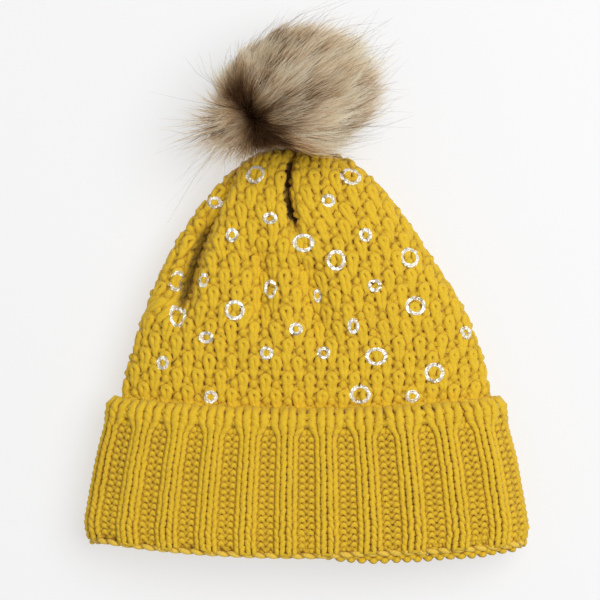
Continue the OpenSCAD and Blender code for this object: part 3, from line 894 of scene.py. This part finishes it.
def wool_group():
    """Wool spun from plies: a twist that winds along the strand, fine fibres, a colour that drifts, and painted
    shade where the yarn lies low and in the grooves of its twist.
    """
    tree, values = new_tree(
        "ShaderNodeTree", "spun_wool",
        {"Color": ("Colour", "Shadow Colour"), "Float": ("Along", "Around", "Plies", "Depth")},
        {"Color": ("Colour",), "Float": ("Height",)})
    spot = object_spot(tree)
    drift = noise_at(spot, 90.0, 3.0)
    fibre = noise_at(spot, FIBRES, 3.0)
    wind = (values["Around"] + values["Along"]) * values["Plies"] * (2 * math.pi)
    ply = wind.math("SINE") * 0.5 + 0.5
    height = ply.math("POWER", 0.5) + (fibre - 0.5) * 0.9
    # Painted shade where the yarn lies low and in the grooves between its plies, mixed with the drifting and
    # fibre tones
    deep = values["Depth"] * 0.80 + (1 - ply) * 0.10 + (drift - 0.5) * 0.3 + (fibre - 0.5) * 0.7
    colour = mix_colour(deep.at_least(0.0).at_most(1.0), values["Colour"], values["Shadow Colour"])
    return end_tree(tree, Colour=colour, Height=height)


def mottled_group():
    """Two colours mixed in soft specks, and the specks themselves for roughness and bumps."""
    tree, values = new_tree("ShaderNodeTree", "mottle", {"Color": ("First", "Second"), "Float": ("Scale",)},
                            {"Color": ("Colour",), "Float": ("Specks",)})
    specks = noise_at(object_spot(tree), values["Scale"], 4.0)
    colour = mix_colour(ramp(specks, 0.35, 0.65), values["First"], values["Second"])
    return end_tree(tree, Colour=colour, Specks=specks)


MOTTLE = mottled_group()
WOOL = wool_group()


def yarn_material(name, strips, twists, colour=MUSTARD, shadow=MUSTARD_SHADOW):
    """Wool of a knitted piece, with painted shade between the strands and in the creases.

    The piece's map has one strip for each course, and the yarn has so many twists along it."""
    material, tree, shader = new_material(name, 0.85)
    shader.inputs["Sheen Weight"].default_value = 0.10
    spot = map_spot(tree)
    # The lower a point of yarn lies, the more painted shade it takes
    wool = place_node(
        tree, "ShaderNodeGroup", {"node_tree": WOOL}, Colour=opaque(colour), Shadow_Colour=opaque(shadow),
        Along=spot.part("X") * twists, Around=(spot.part("Y") * strips).math("FRACT"), Plies=YARN_PLIES,
        Depth=ramp(attribute(tree, "yarn_height"), -0.3, 1.35, 1.0, 0.0))
    # Painted shade in the slit and the lobe's crease, mixed in dark brown
    shaded = mix_colour(attribute(tree, "crease"), out(wool, "Colour"), opaque(PAINTED_CREASE_SHADE))
    plug(shaded, shader.inputs["Base Color"])
    add_bump(shader, out(wool, "Height"), 0.45, 0.0004)
    return material


def mottled_material(name, first, second, scale, roughness, bump_strength):
    """A material in two shades of one colour, rougher and higher in its specks."""
    material, tree, shader = new_material(name, roughness)
    mottle = place_node(tree, "ShaderNodeGroup", {"node_tree": MOTTLE}, First=opaque(first),
                        Second=opaque(second), Scale=scale)
    specks = out(mottle, "Specks")
    plug(out(mottle, "Colour"), shader.inputs["Base Color"])
    plug(specks * 0.3 + (roughness - 0.15), shader.inputs["Roughness"])
    add_bump(shader, specks, bump_strength, 0.0005)
    return material


def foil_material():
    """Pressed silver foil, crackled where the knitting under it has stretched."""
    material, tree, shader = new_material("silver_foil", 0.3, 0.5)
    spot = object_spot(tree)
    cells = make(tree, "ShaderNodeTexVoronoi", {"feature": "DISTANCE_TO_EDGE"}, Vector=spot, Scale=430.0)
    crease = noise_at(spot, 1100.0, 3.0)
    crack = ramp(cells, 0.01, 0.06, 0.9, 0.0)
    worn = ramp(noise_at(spot, 260.0), 0.54, 0.66, 0.0, 0.8)
    dark = (crack * (0.2 + crease) + worn * crease * 1.5).at_least(0.0).at_most(1.0)
    plug(mix_colour(dark, opaque(FOIL_BRIGHT), opaque(FOIL_WORN)), shader.inputs["Base Color"])
    plug(crease * 0.4 + 0.12, shader.inputs["Roughness"])
    add_bump(shader, crease - crack * 0.5, 0.6, 0.0004)
    return material


def inner_material():
    """The knitting seen from inside: rows of purl bumps in mustard wool, with painted shade between the rows.
    """
    material, tree, shader = new_material("inner_wool", 0.9)
    spot = object_spot(tree)
    wave = (noise_at(spot, 160.0) - 0.5) * 1.6
    across = (spot.part("X") * (2 * math.pi / CROWN_WALE)).math("SINE")
    rows = (spot.part("Y") * (2 * math.pi / CROWN_COURSE) + across * 0.9 + wave).math("SINE") * 0.5 + 0.5
    fibre = noise_at(spot, FIBRES)
    light = (rows * 0.7 + fibre * 0.4).at_least(0.0).at_most(1.0)
    plug(mix_colour(light, opaque(INNER_SHADOW), opaque(INNER_MUSTARD)), shader.inputs["Base Color"])
    add_bump(shader, rows + fibre * 0.3, 0.8, 0.0008)
    return material


def thread_material(name, colour, shadow):
    """Twisted thread on a small solid, wound about its own coordinates."""
    material, tree, shader = new_material(name, 0.8)
    spot = object_spot(tree)
    wool = place_node(
        tree, "ShaderNodeGroup", {"node_tree": WOOL}, Colour=opaque(colour), Shadow_Colour=opaque(shadow),
        Along=(spot.part("X") + spot.part("Y")) * THREAD_TURNS, Around=spot.part("Z") * THREAD_TURNS, Plies=1.0,
        Depth=0.2)
    plug(out(wool, "Colour"), shader.inputs["Base Color"])
    add_bump(shader, out(wool, "Height"), 0.7, 0.0004)
    return material


def hair_colour(along, stops):
    """The colour of a coat at a share of the way along its hairs."""
    node = tree_of(along).nodes.new("ShaderNodeValToRGB")
    elements = node.color_ramp.elements
    elements[1].position = stops[-1][0]
    for place, _ in stops[1:-1]:
        elements.new(place)
    for element, (place, colour) in zip(elements, stops):
        element.position, element.color = place, opaque(colour)
    plug(along, node.inputs[0])
    return out(node)


def fur_material():
    """Fur from dark roots through beige to cream tips, lighter or browner by strand."""
    material, tree, shader = new_material("brown_beige_fur", 0.7)
    shader.inputs["Specular IOR Level"].default_value = 0.0
    spot = map_spot(tree)
    light, dark = (hair_colour(spot.part("Y"), stops) for stops in (LIGHT_HAIR, DARK_HAIR))
    plug(mix_colour(spot.part("X"), light, dark), shader.inputs["Base Color"])
    return material


SILVER = foil_material()
HAIR = fur_material()
PELT_BROWN = mottled_material("pelt", (0.02, 0.011, 0.007), (0.10, 0.055, 0.03), 400.0, 0.9, 0.5)
WADDING = mottled_material("wadding", (0.72, 0.70, 0.65), (0.90, 0.89, 0.86), 260.0, 0.9, 0.8)
BUTTON = mottled_material("button_plastic", (0.10, 0.055, 0.03), (0.20, 0.12, 0.07), 180.0, 0.45, 0.1)
BROWN_THREAD = thread_material("brown_thread", (0.20, 0.115, 0.06), (0.06, 0.03, 0.015))
MUSTARD_THREAD = thread_material("mustard_thread", (0.60, 0.36, 0.013), (0.30, 0.14, 0.004))
INNER_WOOL = inner_material()
CROWN_WOOL = yarn_material("crown_wool", CROWN_COURSES, CROWN_WALES * TWISTS_PER_WALE)
CUFF_WOOL = yarn_material("cuff_wool", CUFF_COURSES, CUFF_WALES * TWISTS_PER_WALE)
HEM_WOOL = yarn_material("hem_wool", HEM_COURSES, CUFF_WALES * TWISTS_PER_WALE)
CHAIN_WOOL = yarn_material("chain_wool", 2, 160.0, PALE_MUSTARD, PALE_SHADOW)
KNIT, CHAIN, FOIL, FUR = knit_tree(), chain_tree(), foil_tree(), fur_tree()

CROWN_ROWS, FABRIC_COLUMNS = 160, 360
CUFF_ROWS, CUFF_TURN_ROWS, CUFF_COLUMNS = 90, 24, 460
PAST_EDGE = 0.04  # how far a face's fabric runs on round its edges
CROWN_UNDER_CUFF = 0.009
GATHER_GAP = 0.0012
CROWN_YARN_LEVEL = -0.0016  # middle of the crown's yarn, from the solid's face
WALE_DRAWN, DRAWN_FROM = 0.2, 0.4  # wales narrow towards the gather, from this share of the crown
LOBE_START = CROWN_LENGTH - LOBE_FOLD["start"]
SLIT_PULL, LEFT_PULL = 0.009, -0.3  # how far the slit draws the wales at its right, and the share at its left
PULL_FROM, PULL_RUN, PULL_CLEAR, PULL_REACH = 0.125, 0.07, 0.006, 0.035
# Strength of the painted shade in the slit and in the lobe's crease
SLIT_SHADE, LOBE_SHADE = 0.9, 0.6

# Plain knitting without ribs, from which the crown, the cuff and the hem start
PLAIN_KNIT = {
    "First Course": 0, "Points per Stitch": 12, "Loop Height": 1.9, "Loop Sway": 0.2, "Leg Fullness": 0.10,
    "Courses per Shift": 1000, "Rib Relief": 0.0, "Arch Course": 99.0, "Arch Run": 1.0}


def slit_pull(distance, s):
    """How far the wales are drawn towards the slit at distances from it."""
    drawn = smooth((s - PULL_FROM) / PULL_RUN) * smooth(np.abs(distance) / PULL_CLEAR)
    drawn = drawn * bump(distance, 0, PULL_REACH)
    return np.where(distance > 0, SLIT_PULL, LEFT_PULL * SLIT_PULL) * drawn


def crease_shade(x, s):
    """How much painted shade darkens the knitting in the slit and in the lobe's crease."""
    slit = fold_depth(x, s, [SLIT]) / SLIT["depth"]
    lobe = fold_depth(x, s, [LOBE_CREASE]) / LOBE_CREASE["depth"]
    return SLIT_SHADE * smooth((slit - 0.35) / 0.5) + LOBE_SHADE * smooth((lobe - 0.2) / 0.7)


def row_map(wales, course):
    """The stitch map of a row of points on one course."""
    return np.stack([wales, np.full(len(wales), course)], axis=-1)


def crown_fabric(front):
    """The crown's front or back as a fabric with its stitch map, from inside the cuff to the gather.

    Wales stand upright beside the slit and run out at the side edges. On the lobe they follow its fold."""
    points, maps, creases, lobe_start = [], [], [], 0.0
    turn = 0 if front else np.pi
    places = np.linspace(CUFF_HEIGHT - CROWN_UNDER_CUFF, CROWN_LENGTH - GATHER_GAP, CROWN_ROWS)
    spine = np.stack([BRIM_Y + places, middle_z(places) + half_thickness(places)], axis=-1)
    for s, travelled in zip(places, run_lengths(spine)):
        origin = fold_line(SLIT, s) if front else lean(s)
        row, across = even_section(s, CROWN_YARN_LEVEL, turn, FABRIC_COLUMNS, PAST_EDGE, origin)
        if front:
            at_fold = across[np.argmin(np.abs(row[:, 0] - fold_line(LOBE_FOLD, s)))]
            lobe_start = at_fold if s <= LOBE_START else lobe_start
            across = np.where(across < at_fold, across - at_fold + lobe_start, across + slit_pull(across, s))
        wale = CROWN_WALE * (1 - WALE_DRAWN * smooth((crown_share(s) - DRAWN_FROM) / (1 - DRAWN_FROM)))
        points.append(row)
        maps.append(row_map(across / wale, travelled / CROWN_COURSE))
        creases.append(crease_shade(row[:, 0], np.full(len(row), s)) if front else np.zeros(len(row)))
    return mesh_grid("crown_fabric", np.array(points), np.array(maps), np.array(creases))


def knit_crown(front):
    """The crown's front or back in moss stitch."""
    return run_tree(KNIT, "crown_knit_front" if front else "crown_knit_back", crown_fabric(front), {
        **PLAIN_KNIT, "First Wale": -CROWN_WALES // 2, "Wales": CROWN_WALES, "Courses": CROWN_COURSES,
        "Yarn Radius": CROWN_YARN, "Yarn Sides": 7, "Loop Depth": 0.0012, "Bump Share": 0.4, "Purl Sway": 0.6,
        "Knit Wales": 1, "Purl Wales": 1, "Courses per Shift": 2, "Unevenness": 0.75,
        "Seed": 3.0 if front else 9.0, "Yarn": CROWN_WOOL})


CUFF_LEVEL = CLEARANCE + 2 * PLY_THICKNESS + PLY_SLIT - 0.0010
CUFF_FOLD_MIDDLE = CLEARANCE + PLY_THICKNESS + PLY_SLIT / 2
CUFF_FOLD_RADIUS = CUFF_LEVEL - CUFF_FOLD_MIDDLE
CUFF_FOLD_START = CUFF_HEIGHT - CUFF_FOLD_RADIUS - 0.0017
CUFF_START = 0.0022
CUFF_LOWEST = 0.0033  # the table presses the back's yarn up to here
FACE_SPAN = FACE_WALES * 0.993  # wales of a face as they lie, a little looser than even
CUFF_PHASE = RIB_KNIT_WALES + 0.60  # wales from a rib's edge to the middle of a face
RIB_DRIFT = 0.42  # wales by which the ribs stand closer at the middle of a face than at its edges


def face_wales(share):
    """Wales at shares of the way round a face of the cuff, from its left edge to its right."""
    return FACE_SPAN * (share - 0.5) + CUFF_PHASE + RIB_DRIFT * np.cos(2 * np.pi * (share - 0.5))


def fold_stops(radius, first, last, count):
    """Stops round the cuff's top fold, as distances from the brim and offsets, between angles in degrees."""
    turns = np.radians(np.linspace(first, last, count))
    return [(CUFF_FOLD_START + radius * np.sin(a), CUFF_FOLD_MIDDLE + radius * np.cos(a)) for a in turns]


def cuff_fabric(front):
    """The cuff's outer ply on the front or the back, from the brim up and round the top fold."""
    turn = 0 if front else np.pi
    path = [(s, CUFF_LEVEL) for s in np.linspace(CUFF_START, CUFF_FOLD_START, CUFF_ROWS)]
    path += fold_stops(CUFF_FOLD_RADIUS, 8, 150, CUFF_TURN_ROWS)
    points, maps = [], []
    for (s, offset), travelled in zip(path, run_lengths(np.array(path))):
        row, distance = even_section(s, offset, turn, CUFF_COLUMNS, PAST_EDGE, lean(s))
        row[:, 2] = np.maximum(row[:, 2], CUFF_LOWEST)
        edges = hat_section(turn + np.array([-np.pi / 2, np.pi / 2]), np.full(2, s), offset)
        left, right = (distance[np.argmin(np.linalg.norm(row - edge, axis=1))] for edge in edges)
        points.append(row)
        maps.append(row_map(face_wales((distance - left) / (right - left)), travelled / CUFF_COURSE))
    return mesh_grid("cuff_fabric", np.array(points), np.array(maps))


def knit_cuff(front):
    """The cuff's front or back in 2-by-2 rib."""
    return run_tree(KNIT, "cuff_knit_front" if front else "cuff_knit_back", cuff_fabric(front), {
        **PLAIN_KNIT, "First Wale": -FACE_WALES // 2 + 1, "Wales": CUFF_WALES, "Courses": CUFF_COURSES,
        "Yarn Radius": CUFF_YARN, "Yarn Sides": 6, "Loop Sway": 0.22, "Loop Depth": 0.0011, "Bump Share": 0.2,
        "Leg Fullness": 0.14, "Purl Sway": 0.34, "Knit Wales": RIB_KNIT_WALES, "Purl Wales": RIB_PURL_WALES,
        "Rib Relief": 0.0023, "Arch Course": 17.3, "Arch Run": 2.5, "Unevenness": 0.26,
        "Seed": 5.0 if front else 7.0, "Yarn": CUFF_WOOL})


RIB_SAMPLES = 1201
ARCH_LOW, ARCH_RUN, ARCH_CLOSED = 0.0590, 0.008, 0.8  # where the valleys close below the cuff's top
SHELL_LOWEST = 0.0015
SHELL_START = 0.002
INSIDE_FACE, INSIDE_END = -0.0028, 0.199  # the crown's inner skin, just under its yarn
PLY_LEVEL, PLY_FOLD_RADIUS = 0.0027, 0.0021  # the cuff's inner ply, whose ribs rise by its level too


def rib_rise(angles, s):
    """How far the ribs stand up at angles round the hat, from 0 in the purl wales to 1 on a rib's crest."""
    rise = []
    half = RIB_KNIT_WALES / 2
    samples = spread_angles(RIB_SAMPLES, 0)
    for turn in (0, np.pi):
        length = run_lengths(hat_section(turn + samples, np.full(RIB_SAMPLES, s), CUFF_LEVEL))
        wales = face_wales(np.interp(angles[:len(angles) // 2], samples, length / length[-1]))
        place = (wales + RIB_PURL_WALES / 2) % (RIB_KNIT_WALES + RIB_PURL_WALES) - RIB_PURL_WALES / 2 - half
        rise.append(np.sqrt(np.clip(1 - (place / (half * PURL_START)) ** 2, 0, 1)))
    return np.concatenate(rise)


def ring_shell(name, stops, columns, rib_height=0.0):
    """A closed skin over loops round the hat, each with its distance from the brim, offset and ribs or none."""
    angles = round_angles(columns)
    loops = []
    for s, offset, ribbed in stops:
        if ribbed:
            closed = ARCH_CLOSED * smooth((s - ARCH_LOW) / ARCH_RUN)
            offset = offset + rib_height * np.maximum(rib_rise(angles, s), closed)
        loops.append(hat_section(angles, np.full(columns, s), offset))
    loops = np.array(loops)
    loops[..., 2] = np.maximum(loops[..., 2], SHELL_LOWEST)
    index = np.arange(loops.shape[0] * columns).reshape(-1, columns)
    right, up = np.roll(index, -1, axis=1), np.roll(index, -1, axis=0)
    corner = np.roll(right, -1, axis=0)
    shell = add_object(name, mesh_of(name, loops, np.stack([index, right, corner, up], axis=-1).reshape(-1, 4)))
    shell.data.materials.append(INNER_WOOL)
    return shell


def crown_inside():
    """The crown's inner skin, up behind the yarn and down again on the inside."""
    stops = [(s, INSIDE_FACE, False) for s in np.linspace(SHELL_START, INSIDE_END, 60)]
    stops += [(s, -CROWN_THICKNESS, False) for s in np.linspace(INSIDE_END, SHELL_START, 60)]
    return ring_shell("crown_inside", stops, 240)


def cuff_inner_ply():
    """The cuff's inner ply, up behind the ribs, round the fold and down along the crown."""
    stops = [(s, PLY_LEVEL, True) for s in np.linspace(SHELL_START, CUFF_FOLD_START, 30)]
    stops += [(s, offset, False) for s, offset in fold_stops(PLY_FOLD_RADIUS, 10, 150, 9)]
    stops += [(s, CLEARANCE, False) for s in np.linspace(CUFF_FOLD_START, SHELL_START, 12)]
    return ring_shell("cuff_inner_ply", stops, 360, PLY_LEVEL)


HEM_HANG, HEM_HIDDEN = 0.0028, 0.0030  # how far the hem hangs at the right, and is drawn up at the left
HEM_LOW, HEM_HIGH, HEM_ROWS = -0.0017, 0.012, 16


def hem_knit():
    """The cuff's inner ply where it shows its purl side below the front's edge, lower at the right."""
    points, maps = [], []
    for s in np.linspace(HEM_LOW, HEM_HIGH, HEM_ROWS):
        row, distance = even_section(s, CLEARANCE + PLY_THICKNESS, 0, FABRIC_COLUMNS, -0.02, lean(0))
        share = (row[:, 0] - lean(0)) / half_width(0)
        shown = smooth((share + 0.10) / 0.4)
        row[:, 1] += mix(HEM_HIDDEN, -HEM_HANG, shown) + 0.45 * HEM_HANG * smooth((share - 0.78) / 0.2)
        points.append(row)
        maps.append(row_map(distance / CROWN_WALE, s / CUFF_COURSE + 1))
    return run_tree(KNIT, "cuff_hem", mesh_grid("hem_fabric", np.array(points), np.array(maps)), {
        **PLAIN_KNIT, "First Wale": -HEM_WALES // 2, "Wales": HEM_WALES, "First Course": 1,
        "Courses": HEM_COURSES, "Points per Stitch": 10, "Yarn Radius": CROWN_YARN, "Yarn Sides": 6,
        "Loop Height": 0.6, "Loop Depth": 0.0013, "Bump Share": 0.6, "Purl Sway": 0.2, "Knit Wales": 0,
        "Purl Wales": 4, "Unevenness": 0.6, "Seed": 2.0, "Yarn": HEM_WOOL})


CHAIN_LEVEL = BAND_THICKNESS - RIB_RELIEF - PLY_THICKNESS / 2 + 0.0006
CHAIN_RISE, CHAIN_LOWEST = 0.0016, 0.0018
SEAM_START, SEAM_END = 0.0035, CROWN_LENGTH - 6 * CROWN_THICKNESS
SEAM_LEVEL = -CROWN_THICKNESS - CLEARANCE - 0.0009


def path_mesh(name, points, closed=False):
    """A mesh of edges along a row of points."""
    mesh = bpy.data.meshes.new(name)
    count = len(points)
    mesh.from_pydata(points.tolist(), [(k, (k + 1) % count) for k in range(count if closed else count - 1)], [])
    return mesh


def brim_chain():
    """The linking chain along the brim. The back's edge hangs a little lower at the right."""
    angles = round_angles(320)
    loop = hat_section(angles, np.zeros(angles.shape), CHAIN_LEVEL)
    loop[:, 1] += CHAIN_RISE
    loop[:, 2] = np.maximum(loop[:, 2], CHAIN_LOWEST)
    return run_tree(CHAIN, "brim_linking_chain", path_mesh("brim_path", loop, closed=True), {
        "Level": (0, 1, 0), "Points": 900, "Strands": 2, "Twists": 37.0, "Twist Radius": 0.0008,
        "Strand Radius": 0.00092, "Yarn": CHAIN_WOOL})


def seam():
    """The overlocked seam inside the back, three strands wound along its whole length."""
    places = np.linspace(SEAM_START, SEAM_END, 60)
    path = hat_section(np.full(places.shape, np.pi), places, SEAM_LEVEL)
    return run_tree(CHAIN, "back_overlock", path_mesh("seam_path", path), {
        "Level": (1, 0, 0), "Points": 420, "Strands": 3, "Twists": 16.0, "Twist Radius": 0.0008,
        "Strand Radius": 0.0008, "Yarn": CHAIN_WOOL})


RING_FIRST, RING_LAST = CUFF_HEIGHT + 0.008, CROWN_LENGTH - 0.015
LARGE_RING, SMALL_RING = 0.005, 0.0034
RING_BAND = 0.0036
RING_DRAWN = 0.5  # how much narrower a ring lies in a valley
RING_UNEVEN = 0.08
# Places of the front's rings, as shares of the half width from the middle and of the way from cuff to gather
FRONT_LARGE = [
    (-0.63, 1.00), (0.74, 0.99), (0.04, 0.69), (0.28, 0.61), (0.84, 0.61), (-0.88, 0.50), (-0.21, 0.48),
    (-0.44, 0.38), (0.71, 0.39), (-0.79, 0.33), (0.40, 0.17), (0.71, 0.08), (0.29, 0.00)]
FRONT_SMALL = [
    (0.32, 0.88), (-0.905, 0.87), (-0.27, 0.80), (-0.57, 0.72), (0.57, 0.72), (-0.67, 0.51), (0.50, 0.49),
    (0.10, 0.45), (-0.06, 0.30), (0.29, 0.31), (-0.59, 0.25), (0.95, 0.25), (0.10, 0.19), (-0.23, 0.19),
    (-0.81, 0.12), (-0.52, -0.02), (0.57, -0.02)]
# The back's are scattered by two steps that don't repeat
BACK_RINGS, BACK_MARGIN = 12, 0.02
STEP_ALONG, STEP_ACROSS = 0.7321, 0.618


def ring_place(x, s, front):
    """Point and normal on the crown's front or back, over or under a place in the plan."""
    side = 1 if front else -1

    def at(px, ps):
        share = (px - lean(ps)) / half_width(ps)
        lift = half_thickness(ps) * np.sqrt(max(0, 1 - abs(share) ** (FRONT_POWER if front else BACK_POWER)))
        dent = fold_depth(px, ps) * (1 - share ** 6) if front else 0
        y = BRIM_Y + ps + edge_drop(share, ps, front)
        return np.array([px, y, middle_z(ps) + side * lift - dent], float)

    step = 0.002
    normal = np.cross(at(x + step, s) - at(x - step, s), at(x, s + step) - at(x, s - step))
    return at(x, s), normal / np.linalg.norm(normal) * side


def foil_rings(name, places, radius, front):
    """Rings of one size on the front or the back, each stretched a little."""
    points, normals, sizes = [], [], []
    rng = np.random.default_rng(11)
    for x, s in places:
        point, normal = ring_place(x, s, front)
        stretch = 1 + RING_UNEVEN * rng.standard_normal()
        in_valley = np.clip(fold_depth(x, s, VALLEYS) / VALLEYS[0]["depth"], 0, 1) if front else 0
        points.append(point)
        normals.append(normal)
        sizes.append((radius * stretch * (1 - RING_DRAWN * in_valley), radius / stretch, radius))
    mesh = bpy.data.meshes.new(name)
    mesh.from_pydata(points, [], [])
    for key, rows in (("ring_normal", normals), ("ring_size", sizes)):
        values = mesh.attributes.new(key, "FLOAT_VECTOR", "POINT").data
        values.foreach_set("vector", np.array(rows, np.float32).ravel())
    return run_tree(FOIL, name, mesh, {
        "Knitting": bpy.data.objects["crown_knit_front" if front else "crown_knit_back"],
        "Band Share": RING_BAND / (2 * radius), "Reach": 0.006, "Dip": 0.0002, "Thickness": 0.0002,
        "Foil": SILVER})


def front_spots(shares):
    """Places across and along the crown of rings given by shares."""
    spots = []
    for across, along in shares:
        s = mix(RING_FIRST, RING_LAST, along)
        spots.append((lean(s) + half_width(s) * across, s))
    return spots


def back_spots(first):
    """Places of scattered rings on the back, by their number in the scatter."""
    spots = []
    for k in range(first, first + BACK_RINGS):
        s = mix(RING_FIRST, RING_LAST, (k * STEP_ALONG) % 1)
        spots.append((lean(s) + (half_width(s) - BACK_MARGIN) * (2 * ((k * STEP_ACROSS) % 1) - 1), s))
    return spots


def hand_over(piece, body, slot, *nodes):
    """Hides the solids that a piece stands for and attaches it to the body it moves with. The slot, for what
    the piece is made of, is not used.
    """
    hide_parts(*nodes)
    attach(piece, body)


for side in (True, False):
    hand_over(knit_crown(side), "hat", "crown_knit", "crown_shell")
    hand_over(knit_cuff(side), "hat", "rib_knit", "cuff_band")
hand_over(crown_inside(), "hat", "crown_knit", "crown_shell")
hand_over(cuff_inner_ply(), "hat", "rib_knit", "cuff_band")
hand_over(hem_knit(), "hat", "rib_knit", "cuff_band")
hand_over(brim_chain(), "hat", "rib_knit", "brim_chain")
hand_over(seam(), "hat", "crown_knit", "back_seam")
for name, spots, radius, front in (
    ("front_large", front_spots(FRONT_LARGE), LARGE_RING, True),
    ("front_small", front_spots(FRONT_SMALL), SMALL_RING, True),
    ("back_large", back_spots(5), LARGE_RING, False),
    ("back_small", back_spots(17), SMALL_RING, False),
):
    hand_over(foil_rings("foil_" + name, spots, radius, front), "hat", "silver_foil", "foil_rings_" + name)

POMPOM_MIDDLE = np.mean([np.array(k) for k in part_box("pompom_fur")], axis=0)
PELT_MIDDLE = POMPOM_MIDDLE + (-0.0055, -0.0038, 0.0027)
PELT_ACROSS, PELT_ALONG = 0.0255, 0.019
BALL_DETAIL = 5
WHORL = (-0.76, -0.54, 0.362)
FUR_INPUTS = {
    "Points per Strand": 4, "Pelt Middle": PELT_MIDDLE.tolist(), "Length": 0.0188,
    "Crown Top": BRIM_Y + CROWN_LENGTH + 0.0005, "Whorl": WHORL, "Comb": 1.8, "Lock Scale": 6.0, "Shades": 8,
    "Hair": HAIR}
# Coats of the fur, with their number of strands and their inputs in this order
COAT_INPUTS = (
    "Seed", "Root Radius", "Shortest", "Longest", "Lock Pull", "Stray", "Tip Reach", "Shade Low", "Shade High")
COATS = {
    "fur_under_a": (10500, 1, 0.00014, 0.5, 0.9, 0.12, 0.14, 1.0, 0.1, 1.0),
    "fur_under_b": (10500, 2, 0.00014, 0.6, 1.0, 0.15, 0.11, 1.0, 0.0, 0.9),
    "fur_top_a": (10500, 3, 0.00013, 0.5, 1.2, 0.3, 0.13, 1.0, 0.0, 0.95),
    "fur_top_b": (10500, 4, 0.00013, 0.55, 1.3, 0.32, 0.15, 1.0, 0.0, 0.9),
    "fur_top_c": (10500, 6, 0.00013, 0.6, 1.4, 0.34, 0.17, 1.0, 0.0, 0.8),
    "fur_guard": (650, 5, 0.00007, 1.3, 2.1, 0.1, 0.35, 0.62, 0.9, 1.0),
}
WADDING_FLATTER = 0.010  # how much less it measures along the tie than across, to each side
LUMP_SCALE, LUMP_HEIGHT, LUMP_SINK = 160.0, 0.0011, 0.0012


def spheroid(name, middle, across, along):
    """A closed ball, flattened along the tie."""
    form = bmesh.new()
    bmesh.ops.create_icosphere(form, subdivisions=BALL_DETAIL, radius=1)
    for vertex in form.verts:
        way = np.array(vertex.co)
        tie = way @ TIE_WAY
        vertex.co = middle + (way - tie * TIE_WAY) * across + tie * TIE_WAY * along
    mesh = bpy.data.meshes.new(name)
    form.to_mesh(mesh)
    form.free()
    return mesh


def stuffing():
    """Wadding in the pompom, a ball with lumps."""
    low, high = (np.array(k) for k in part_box("pompom_stuffing"))
    across = (high - low)[0] / 2
    mesh = spheroid("pompom_wadding", (low + high) / 2, across, across - WADDING_FLATTER)
    for vertex in mesh.vertices:
        lump = noise.fractal(vertex.co * LUMP_SCALE, 0.6, 2.1, 3)
        vertex.co += vertex.normal * (LUMP_HEIGHT * lump - LUMP_SINK)
    mesh.polygons.foreach_set("use_smooth", np.ones(len(mesh.polygons), bool))
    mesh.materials.append(WADDING)
    return add_object("pompom_wadding", mesh)


pelt_mesh = spheroid("pompom_pelt", PELT_MIDDLE, PELT_ACROSS, PELT_ALONG)
pelt_area = sum(face.area for face in pelt_mesh.polygons)
for name, (strands, *coat) in COATS.items():
    fur = run_tree(FUR, name, pelt_mesh.copy(), {
        **FUR_INPUTS, **dict(zip(COAT_INPUTS, coat)), "Density": strands / pelt_area})
    hand_over(fur, "pompom", "fur", "pompom_fur")
pelt_mesh.materials.append(PELT_BROWN)
hand_over(add_object("pompom_pelt", pelt_mesh), "pompom", "fur", "pompom_fur")
wadding = stuffing()
hand_over(wadding, "pompom", "wadding", "pompom_stuffing")

# Solids that stay as they are, in thread and button colours
for node, paint in (
    ("gather_thread", MUSTARD_THREAD), ("anchor_button", BUTTON), ("anchor_cord", BROWN_THREAD),
    ("tie_knot", BROWN_THREAD), ("pompom_draw_thread", BROWN_THREAD), ("pompom_cord", BROWN_THREAD),
):
    for material_slot in frame["nodes"][node].material_slots:
        material_slot.material = paint

FLOOR_HALF = 3.0
FLOOR_GREY, FLOOR_GLOW = (0.36, 0.36, 0.365), 0.56
SKY_STRENGTH = 0.40
KEY_PLACE, KEY_SIZE, KEY_POWER = Vector((0.48, 0.26, 1.25)), 1.3, 15
CAMERA_MIDDLE = (-0.00325, -0.0019, 0.02)
CAMERA_AWAY, CAMERA_VIEW, SENSOR = 1.2, 0.3, 36  # metres above the hat, metres seen, sensor in millimetres


def studio():
    """A pale floor, soft light from above and a camera that looks straight down on the hat."""
    corners = np.array([(-1, -1, 0), (1, -1, 0), (1, 1, 0), (-1, 1, 0)]) * FLOOR_HALF
    floor_mesh = bpy.data.meshes.new("floor")
    floor_mesh.from_pydata(corners.tolist(), [], [(0, 1, 2, 3)])
    paint, _, shader = new_material("pale_floor", 0.9)
    shader.inputs["Base Color"].default_value = opaque(FLOOR_GREY)
    shader.inputs["Emission Color"].default_value = (1, 1, 1, 1)
    shader.inputs["Emission Strength"].default_value = FLOOR_GLOW
    floor_mesh.materials.append(paint)
    add_object("floor", floor_mesh)
    world = bpy.data.worlds.new("studio")
    world.use_nodes = True
    sky = world.node_tree.nodes["Background"]
    sky.inputs["Color"].default_value = (1, 1, 1, 1)
    sky.inputs["Strength"].default_value = SKY_STRENGTH
    scene.world = world
    key_data = bpy.data.lights.new("key", "AREA")
    key_data.shape = "DISK"
    key_data.size = KEY_SIZE
    key_data.energy = KEY_POWER
    key = add_object("key", key_data)
    key.location = KEY_PLACE
    key.rotation_euler = (-KEY_PLACE).to_track_quat("-Z", "Y").to_euler()
    camera_data = bpy.data.cameras.new("camera")
    camera_data.sensor_width = SENSOR
    camera_data.lens = SENSOR * CAMERA_AWAY / CAMERA_VIEW
    camera = add_object("camera", camera_data)
    camera.location = Vector(CAMERA_MIDDLE) + Vector((0, 0, CAMERA_AWAY))
    scene.camera = camera
    scene.view_settings.view_transform = "Standard"


studio()
